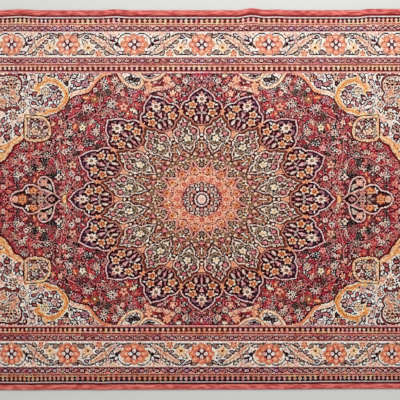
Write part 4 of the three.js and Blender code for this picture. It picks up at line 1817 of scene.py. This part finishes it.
# %% [markdown]
# ## The rug's edges
# The long edges of the real rug wander a little. The CAD model has the same bumps, so the pieces here
# follow the same formula: a straight line, a slope, some smooth swellings and one step.

# %% the wandering edges
RUG_LONG, HEM_LONG, HEM_HIGH = 2.026, 0.013, 0.004
PILE_HIGH = 0.010
FLOOR_GAP = 0.0002
BINDING_WIDE, BINDING_HIGH, BINDING_FLAT = 0.019, 0.009, 0.009
# the overcast yarn reaches this far past its bar, over the cloth's edge
BINDING_LAP = 0.0017
# the cloth goes on this far under the binding's yarn
BINDING_TUCK = 0.0004
EDGE_PLACES = np.linspace(-RUG_LONG / 2, RUG_LONG / 2, 85)
FAR_EDGE = {
    "line": 0.6979,
    "slope": 0.0,
    # each bump: its middle along the rug, its reach, its rise
    "bumps": [
        (-0.670, 0.075, 0.0036), (-0.320, 0.062, 0.0032), (0.186, 0.058, 0.0072), (0.272, 0.060, 0.0026),
    ],
    "step": (0.572, 0.622, 0.005),
}
NEAR_EDGE = {
    "line": 0.703,
    "slope": -0.0022,
    "bumps": [(-0.640, 0.090, 0.0008), (-0.370, 0.040, 0.0012)],
    "step": (0.300, 0.500, -0.0014),
}


def ease(t):
    """A smooth step from 0 to 1: three times the square less twice the cube, held between 0 and 1."""
    held = np.clip(t, 0, 1)
    return held * held * (3 - 2 * held)


def edge_at(edge, x):
    """The distance of a long edge from the middle line at x: line, slope, bumps and step."""
    out = edge["line"] + edge["slope"] * x
    for at, reach, rise in edge["bumps"]:
        out = out + rise * ease(1 - np.abs(x - at) / reach)
    start, stop, rise = edge["step"]
    return out + rise * ease((x - start) / (stop - start))


NEAR_EDGE["line"] += edge_at(FAR_EDGE, EDGE_PLACES).max() - edge_at(NEAR_EDGE, EDGE_PLACES).max()
print("near edge's line:", round(NEAR_EDGE["line"], 5))

# %% [markdown]
# ## The pile
# Each knot is one face, so five strips of knots side by side stay light enough to work with. The height
# is shared by neighbouring strips, so no seam shows between them: a slow swell of the cloth, a small
# random height for each corner, and a rounded fall at the ends and edges.

# %% the pile's surface
STRIPS = 5
ROWS = TUFTS_WIDE // STRIPS
DRAW = np.random.default_rng(7)
KNOT_ROUGHNESS = DRAW.normal(0, 0.0003, (TUFTS_WIDE + 1, TUFTS_LONG + 1)).clip(-0.0008, 0.0008)


# where the pile begins to fall, over what length, and how deep: at the ends, and at the edges
END_FALL = (0.997, 0.003, 0.0068)
EDGE_FALL = (0.676, 0.004, 0.0054)
# the cloth's lines are straight up to here, and over the next stretch they come to follow the edge
STRAIGHT_TO, BENDING = 0.60, 0.08


def cloth_edge(x, v):
    """Where a lengthwise line of the cloth runs: straight, but following the edge in the outer 8 cm."""
    far, near = edge_at(FAR_EDGE, x), edge_at(NEAR_EDGE, x)
    out = np.where(v > 0, far, near) - BINDING_WIDE - BINDING_LAP + BINDING_TUCK
    return v + np.sign(v) * (out - PILE_HALF_WIDE) * ease((np.abs(v) - STRAIGHT_TO) / BENDING)


def pile_height(x, v):
    """The pile's height: its full height, a slow swell, and a round fall at the ends and the edges."""
    swell = 0.00022 * (np.sin(3.1 * x + 1.7 * v + 0.4) + np.sin(7.3 * v - 4.1 * x + 1.0) * 0.6)
    falls = []
    for at, (start, reach, deep) in ((x, END_FALL), (v, EDGE_FALL)):
        part = np.clip((np.abs(at) - start) / reach, 0, 1)
        falls.append(deep * part**2)
    return PILE_HIGH + swell - np.maximum(*falls)


def pile_strip(number, colours):
    """One lengthwise strip of the pile, with its knots' colours."""
    first = number * ROWS
    x = np.linspace(-PILE_HALF_LONG, PILE_HALF_LONG, TUFTS_LONG + 1)[None, :]
    v = (-PILE_HALF_WIDE + np.arange(first, first + ROWS + 1) * TUFT_WIDE)[:, None]
    z = pile_height(x, v) + KNOT_ROUGHNESS[first:first + ROWS + 1]
    x, v = np.broadcast_arrays(x, v)
    points = np.stack([x, cloth_edge(x, v), z], -1)
    faces = grid_faces(TUFTS_LONG + 1, ROWS + 1)
    row, col = np.divmod(np.arange(ROWS * TUFTS_LONG), TUFTS_LONG)
    corner_row, corner_col = grid_corners(row, col)
    half = TUFTS_LONG // 2
    second = (col >= half)[:, None]
    uv_x = 0.004 + 0.992 * (corner_col - second * half) / half
    uv_y = 0.004 + 0.492 * corner_row / ROWS + 0.5 * second
    piece = new_piece(f"pile_{number + 1}", points, faces, np.stack([uv_x, uv_y], -1))
    yarn = piece.data.attributes.new("yarn", "FLOAT_COLOR", "FACE")
    yarn.data.foreach_set("color", colours[first:first + ROWS].reshape(-1, 4).astype(np.float32).ravel())
    knot = piece.data.attributes.new("knot", "FLOAT2", "CORNER")
    knot.data.foreach_set("vector", np.stack([corner_col, corner_row + first], -1).astype(np.float32).ravel())
    return piece


# %% [markdown]
# ## The knots' colours
# On the real rug no knot is quite the colour of its yarn. Neighbours lean over each other and mix, and the
# dye differs a little from hank to hank. Light and shade are painted in as well: the knots are lighter
# towards the far edge and darker towards the near one, and a further painted shade lines the near edge.
# Noise in the material could stand for this, but it would not know the knots. Here one array holds the
# colour of every knot, so each of these effects is one line of arithmetic on the whole array.

# %% the colour of every knot
KNOT_SHADE, SHARED_SHADE, COLUMN_SHADE = 0.09, 0.08, 0.012
HUE_SHARED, EDGE_CONTRAST = 0.8, 0.85
LIGHTNESS = np.array([0.2126, 0.7152, 0.0722])
# how far the knots are painted lighter towards the far edge and darker towards the near one
PAINTED_LIGHT_AND_SHADE = 0.18
# the width and the depth of a painted shade along the near edge
NEAR_SHADE_WIDE, NEAR_PAINTED_SHADE = 0.042, 0.10
# random numbers that are softened once keep this share of their spread
SOFTENED_SPREAD = 0.375
WARMTH = np.array([1.0, 0.96, 0.935])


def to_linear(colour):
    """Screen colours, 0 to 1, as amounts of light: the sRGB curve undone."""
    c = np.asarray(colour, float)
    return np.where(c <= 0.04045, c / 12.92, ((c + 0.055) / 1.055) ** 2.4)


def softened(values, times=1):
    """Values shared between neighbours: along each axis half of its own, and a quarter of each next one."""
    for _ in range(times):
        for axis in (0, 1):
            values = (np.roll(values, 1, axis) + 2 * values + np.roll(values, -1, axis)) / 4
    return values


def leaned(knots):
    """The lightness and the hue of every knot, as cut yarns that lean over each other.

    A colour is the sum of its lightness and its hue. The lightness stands out: the knot's own, plus
    EDGE_CONTRAST times its difference from the near neighbours' mean. The hue is shared: it is a mix of
    the knot's own and of the mean of more neighbours.
    """
    light = knots @ LIGHTNESS
    close = softened(light, 3)
    around = softened(knots, 8)
    own = knots - light[..., None]
    shared = around - (around @ LIGHTNESS)[..., None]
    return light + EDGE_CONTRAST * (light - close), own * (1 - HUE_SHARED) + shared * HUE_SHARED


def knot_colours():
    """Each knot's colour: its yarn's, times the dye's and the pile's own lighter and darker places.

    The lightness is multiplied by 1 plus a sum of three random parts: one for each knot alone, one that
    neighbours share, and one for each column of the loom. Light and shade are painted in as well: the
    colour is raised to a power that grows from 1 - PAINTED_LIGHT_AND_SHADE at the far edge to 1 +
    PAINTED_LIGHT_AND_SHADE at the near edge, so the knots are painted lighter towards the far edge and
    darker, with deeper darks, towards the near one. In the outermost NEAR_SHADE_WIDE of the near edge a
    further painted shade makes them darker by
    NEAR_PAINTED_SHADE.
    """
    palette = np.array(list(YARN_COLOURS.values())) / 255 * WARMTH
    light, hue = leaned(palette[YARN_MAP])
    shape = YARN_MAP.shape
    alone = DRAW.normal(0, KNOT_SHADE, shape)
    shared = softened(DRAW.normal(0, SHARED_SHADE / SOFTENED_SPREAD, shape))
    column = np.convolve(DRAW.normal(0, 1, shape[1] + 8), np.ones(9) / 3, "valid") * COLUMN_SHADE
    hanks = softened(DRAW.normal(0, 1 / SOFTENED_SPREAD, shape))
    dye = hanks[..., None] * np.array([0.008, -0.006, 0.008])
    row = np.arange(shape[0])[:, None, None] * TUFT_WIDE
    # painted light and shade: a power below 1 lightens the far side, above 1 darkens the near side
    lean = 1 + PAINTED_LIGHT_AND_SHADE * (1 - row / PILE_HALF_WIDE)
    # painted shade along the near edge
    near_edge_shade = 1 - NEAR_PAINTED_SHADE * ease((NEAR_SHADE_WIDE - row) / 0.01)
    light = light * (1 + alone + shared + column[None, :])
    knots = np.clip(light[..., None] + hue + dye, 0.012, 1) ** lean * near_edge_shade
    return np.concatenate([to_linear(knots), np.ones(shape + (1,))], -1)


COLOURS = knot_colours()
print("knots:", COLOURS.shape[:2])

# %% [markdown]
# ## The pile's finish
# The cut end of each knot is a small soft tuft, light on its crown and dark where it meets the next, and
# that dark is painted shade. It could be made of hairs, but millions of them. The mesh carries the number
# of the column and the row at every corner, so the finish can raise a dome on each knot by itself, and
# fine noise is the fibres.

# %% the pile's finish
def pile_finish():
    """Cut yarn: each knot a soft dome with painted shade between the knots, fine fibres and a faint sheen.

    The dome is the half wave of the place along the knot, times the half wave of the place across it.
    """
    material, thread, shader = new_finish(
        "cut_pile", Roughness=0.95, Sheen_Weight=0.03, Sheen_Roughness=0.5, Specular_IOR_Level=0.05
    )
    yarn = thread.node("ShaderNodeAttribute", {"attribute_name": "yarn"})
    knot = thread.node("ShaderNodeAttribute", {"attribute_name": "knot"}, out=1)
    column, row, _ = knot.parts()
    dome = column.fraction().wave(1) * row.fraction().wave(1)
    fibre = thread.place().noise(900.0)
    # painted shade: each knot's colour darkens towards its edges, where it meets the next
    tint = dome.ramp(0.0, 0.7).shade(0.34) * fibre.flecks(0.5)
    finish_from(shader, tint, yarn, dome * 0.7 + fibre * 0.5, strength=0.55, rise=0.0012)
    return material


PILE = pile_finish()
PILES = [rest_on_root(pile_strip(k, COLOURS), PILE, "pile") for k in range(STRIPS)]

# %% [markdown]
# ## The bindings
# The long edges of the real rug are overcast: a coral yarn is wound round the cloth's edge, turn by
# turn. Each turn could be a small ring, copied five hundred times, but the edge wanders. So one half
# oval section is carried along the edge's own formula, and swells where each turn of yarn lies.

# %% the overcast bindings
TURNS = 520
TURN_STEPS = 4
TURN_SWELL = 0.0009
AROUND = 14
FOLDS = 4


def binding(name, edge, side):
    """An overcast edge: a half oval section carried along the edge, swollen where each turn of yarn lies."""
    steps = TURNS * TURN_STEPS + 1
    t = np.arange(steps)[:, None] / (steps - 1)
    a = np.arange(AROUND)[None, :] / (AROUND - 1)
    x = -RUG_LONG / 2 + RUG_LONG * t
    wide = BINDING_WIDE + BINDING_LAP
    centre = side * (edge_at(edge, x) - wide / 2)
    low = BINDING_HIGH * 0.45
    angle = np.pi * a
    turn = np.sin(np.pi * (t * TURNS + side * 0.8 * (a - 0.5)))
    swell = TURN_SWELL * (np.abs(turn) - 0.6)
    across = -(wide / 2 + swell - 0.0004) * np.cos(angle)
    up = low + (BINDING_HIGH - low + swell - 0.0003) * np.sin(angle)
    points = np.stack([x + 0 * a, centre + across, up + 0 * x], -1)
    foot_in, foot_out = (
        np.stack([x, centre + way * BINDING_FLAT / 2, 0 * x + FLOOR_GAP], -1) for way in (-1, 1)
    )
    ring = np.concatenate([foot_in, points, foot_out], 1)
    count = AROUND + 2
    faces = grid_faces(count, steps, wrap=True)
    row, col = np.divmod(np.arange(len(faces)), count)
    length = (steps - 1) // FOLDS
    fold = np.minimum(row // length, FOLDS - 1)[:, None]
    corner_row, corner_col = grid_corners(row, col)
    u, v = (corner_row - fold * length) / length, corner_col / count
    uv = np.stack([0.004 + 0.992 * u, (fold + 0.02 + 0.90 * v) / FOLDS], -1)
    caps = end_caps(count, steps)
    place = ring.reshape(-1, 3)[caps]
    aside = (place[..., 1] - place[..., 1].mean()) / BINDING_WIDE + 0.5 + 2 * (place[..., 0] > 0)
    cap_uv = np.stack([0.01 + 0.02 * aside, 0.984 + 0.012 * place[..., 2] / BINDING_HIGH], -1)
    return new_piece(name, ring, np.vstack([faces, caps]), np.vstack([uv, cap_uv]))


def binding_finish():
    """Wound coral yarn: painted shade in the grooves between the turns, and painted light and dark streaks
    along the edge.
    """
    material, thread, shader = new_finish(
        "binding_yarn", Roughness=0.6, Sheen_Weight=0.1, Sheen_Roughness=0.4, Specular_IOR_Level=0.35
    )
    place = thread.place()
    across, fibre = place.parts()[0], place.noise(1400.0)
    stretched = place.node("ShaderNodeMapping", Vector=place, Rotation=(0, 0, 0.06), Scale=(0.2, 1, 1))
    # painted highlights and shade: long streaks of lighter and darker coral along the edge
    painted_light_streaks = stretched.noise(190.0).ramp(0.36, 0.66).mixed((0.46, 0.040, 0.036), (0.82, 0.205, 0.170))
    # painted shade in the grooves between the turns of yarn
    tint = across.wave(RUG_LONG / TURNS).size().ramp(0.0, 0.6).shade(0.35) * fibre.flecks(0.4)
    finish_from(shader, tint, painted_light_streaks, fibre, strength=0.5, rise=0.0006)
    return material


BINDING = binding_finish()
FAR = rest_on_root(binding("binding_yarn_far", FAR_EDGE, 1), BINDING, "binding_yarn", "binding_far")
NEAR = rest_on_root(binding("binding_yarn_near", NEAR_EDGE, -1), BINDING, "binding_yarn", "binding_near")

# %% [markdown]
# ## The woven back
# Under the pile the real rug shows its flat woven back. The photograph doesn't show it, so it is
# plain: a thin closed slab that follows the same edges, with the weave in its finish. A single sheet
# would do too, but a closed one is right for whoever turns the rug over.

# %% the woven back
def back():
    """The woven back: a thin closed slab under the pile, out to the hems' ends."""
    long_steps, wide_steps, thick = 85, 25, 0.0022
    x = np.linspace(0.0008 - RUG_LONG / 2, RUG_LONG / 2 - 0.0008, long_steps)[:, None]
    t = np.linspace(-PILE_HALF_WIDE, PILE_HALF_WIDE, wide_steps)[None, :]
    v = np.broadcast_to(t, (long_steps, wide_steps))
    y = cloth_edge(np.broadcast_to(x, v.shape), v)
    under = np.stack([x + 0 * t, y, 0 * y + FLOOR_GAP], -1)
    over = np.stack([x + 0 * t, y, 0 * y + FLOOR_GAP + thick], -1)
    ring = np.concatenate([over, under[:, ::-1]], 1)
    around = 2 * wide_steps
    faces = np.vstack([grid_faces(around, long_steps, wrap=True), end_caps(around, long_steps)])[:, ::-1]
    flat = ring.reshape(-1, 3)
    half = 0.5 * (flat[:, 2] > thick / 2)
    uv = np.stack([(flat[:, 0] + 1.02) / 2.04, (flat[:, 1] + 0.71) / 1.42 * 0.49 + half], -1)[faces]
    return new_piece("woven_back", flat, faces, uv, smooth=False)


def back_finish():
    """The back's flat knots, in one plain brown."""
    material, thread, shader = new_finish("woven_back", Roughness=0.95, Specular_IOR_Level=0.15)
    place = thread.place()
    x, y, _ = place.parts()
    knot = x.wave(TUFT_LONG) * y.wave(TUFT_WIDE)
    # painted shade: the colour is darker where the knots' relief is low
    tint = (knot * 0.12 + 0.85) * place.noise(220.0, 3.0).flecks(0.5)
    finish_from(shader, tint, (0.46, 0.30, 0.24), knot, strength=0.6, rise=0.0005)
    return material


BACK = rest_on_root(back(), back_finish(), "pile", "pile_cloth")

# %% [markdown]
# ## The hems
# Both ends lie outside the photograph. A rug of this kind ends in a narrow hem, woven flat without
# knots, and that is what is made: a strip whose height swells five times, once for each thick weft.

# %% the hems
# the hem goes on this far under the pile
HEM_TUCK = 0.0015


def hem(name, side):
    """A flat-woven hem across one end: ribs of weft, each a small swelling."""
    ribs, wide = 5, 200
    s = np.linspace(0, 1, ribs * 4 + 1)[:, None]
    v = np.linspace(-PILE_HALF_WIDE, PILE_HALF_WIDE, wide)[None, :]
    x = side * (RUG_LONG / 2 - (HEM_LONG + HEM_TUCK) * (1 - s) - 0.0001)
    v = np.broadcast_to(v, (len(s), wide))
    x = np.broadcast_to(x, v.shape)
    rise = HEM_HIGH - 0.0009 + 0.0007 * np.abs(np.sin(np.pi * ribs * s)) + 0.0002 * np.sin(v * 700)
    fall = np.where(s > 0.97, 0.0026, 0.0)
    points = np.stack([x, cloth_edge(x, v), rise - fall], -1)
    faces = grid_faces(wide, len(s))
    if side > 0:
        faces = faces[:, ::-1]
    flat = points.reshape(-1, 3)
    uv = np.stack([(flat[:, 1] + 0.7) / 1.4, (np.abs(flat[:, 0]) - 0.99) / 0.03], -1)[faces]
    return new_piece(name, points, faces, uv)


def hem_finish():
    """Plain weft yarn, in the ground's dusty coral."""
    material, thread, shader = new_finish("hem_weave", Roughness=0.9, Specular_IOR_Level=0.2)
    place = thread.place()
    warp = place.parts()[1].wave(0.003)
    # painted shade: the colour is darker where the warp's relief is low
    tint = (warp * 0.15 + 0.85) * place.noise(300.0, 3.0).flecks(0.6)
    finish_from(shader, tint, (0.50, 0.20, 0.16), warp, strength=0.6, rise=0.0006)
    return material


HEM = hem_finish()
HEMS = [rest_on_root(hem("hem_left", -1), HEM, "pile"), rest_on_root(hem("hem_right", 1), HEM, "pile")]

# %% [markdown]
# ## The studio
# The photograph was taken in even daylight, a little stronger from the far edge. One large soft lamp
# stands there for the window, and a white world for the room. A picture of a real room could light it
# as well, but a lamp can be moved until the pile is as light here, and as dark there, as in the photo.

# %% floor, light and view
def floor():
    """A plain pale floor just under the rug."""
    reach, under = 8, -0.0004
    corners = [(-reach, -reach, under), (reach, -reach, under), (reach, reach, under), (-reach, reach, under)]
    piece = new_piece("floor", corners, [(0, 1, 2, 3)])
    material, _, shader = new_finish("pale_floor", Roughness=0.9)
    shader.inputs["Base Color"].default_value = (0.62, 0.62, 0.61, 1)
    piece.data.materials.append(material)


def soft_light(name, place, aim, size, power):
    """A square lamp that looks at a place."""
    data = bpy.data.lights.new(name, "AREA")
    data.shape, data.size, data.energy = "SQUARE", size, power
    lamp = bpy.data.objects.new(name, data)
    lamp.location = place
    away = np.array(place) - np.array(aim)
    lamp.rotation_euler = (np.arctan2(np.hypot(away[0], away[1]), away[2]), 0, np.arctan2(away[0], -away[1]))
    bpy.context.scene.collection.objects.link(lamp)


floor()
soft_light("window", place=(0.5, 1.5, 2.8), aim=(0, 0.05, 0), size=1.5, power=68)
world = bpy.data.worlds.new("studio")
bpy.context.scene.world = world
world.use_nodes = True
world.node_tree.nodes["Background"].inputs["Color"].default_value = (1, 1, 1, 1)
world.node_tree.nodes["Background"].inputs["Strength"].default_value = 0.55
bpy.context.scene.view_settings.view_transform = "Standard"
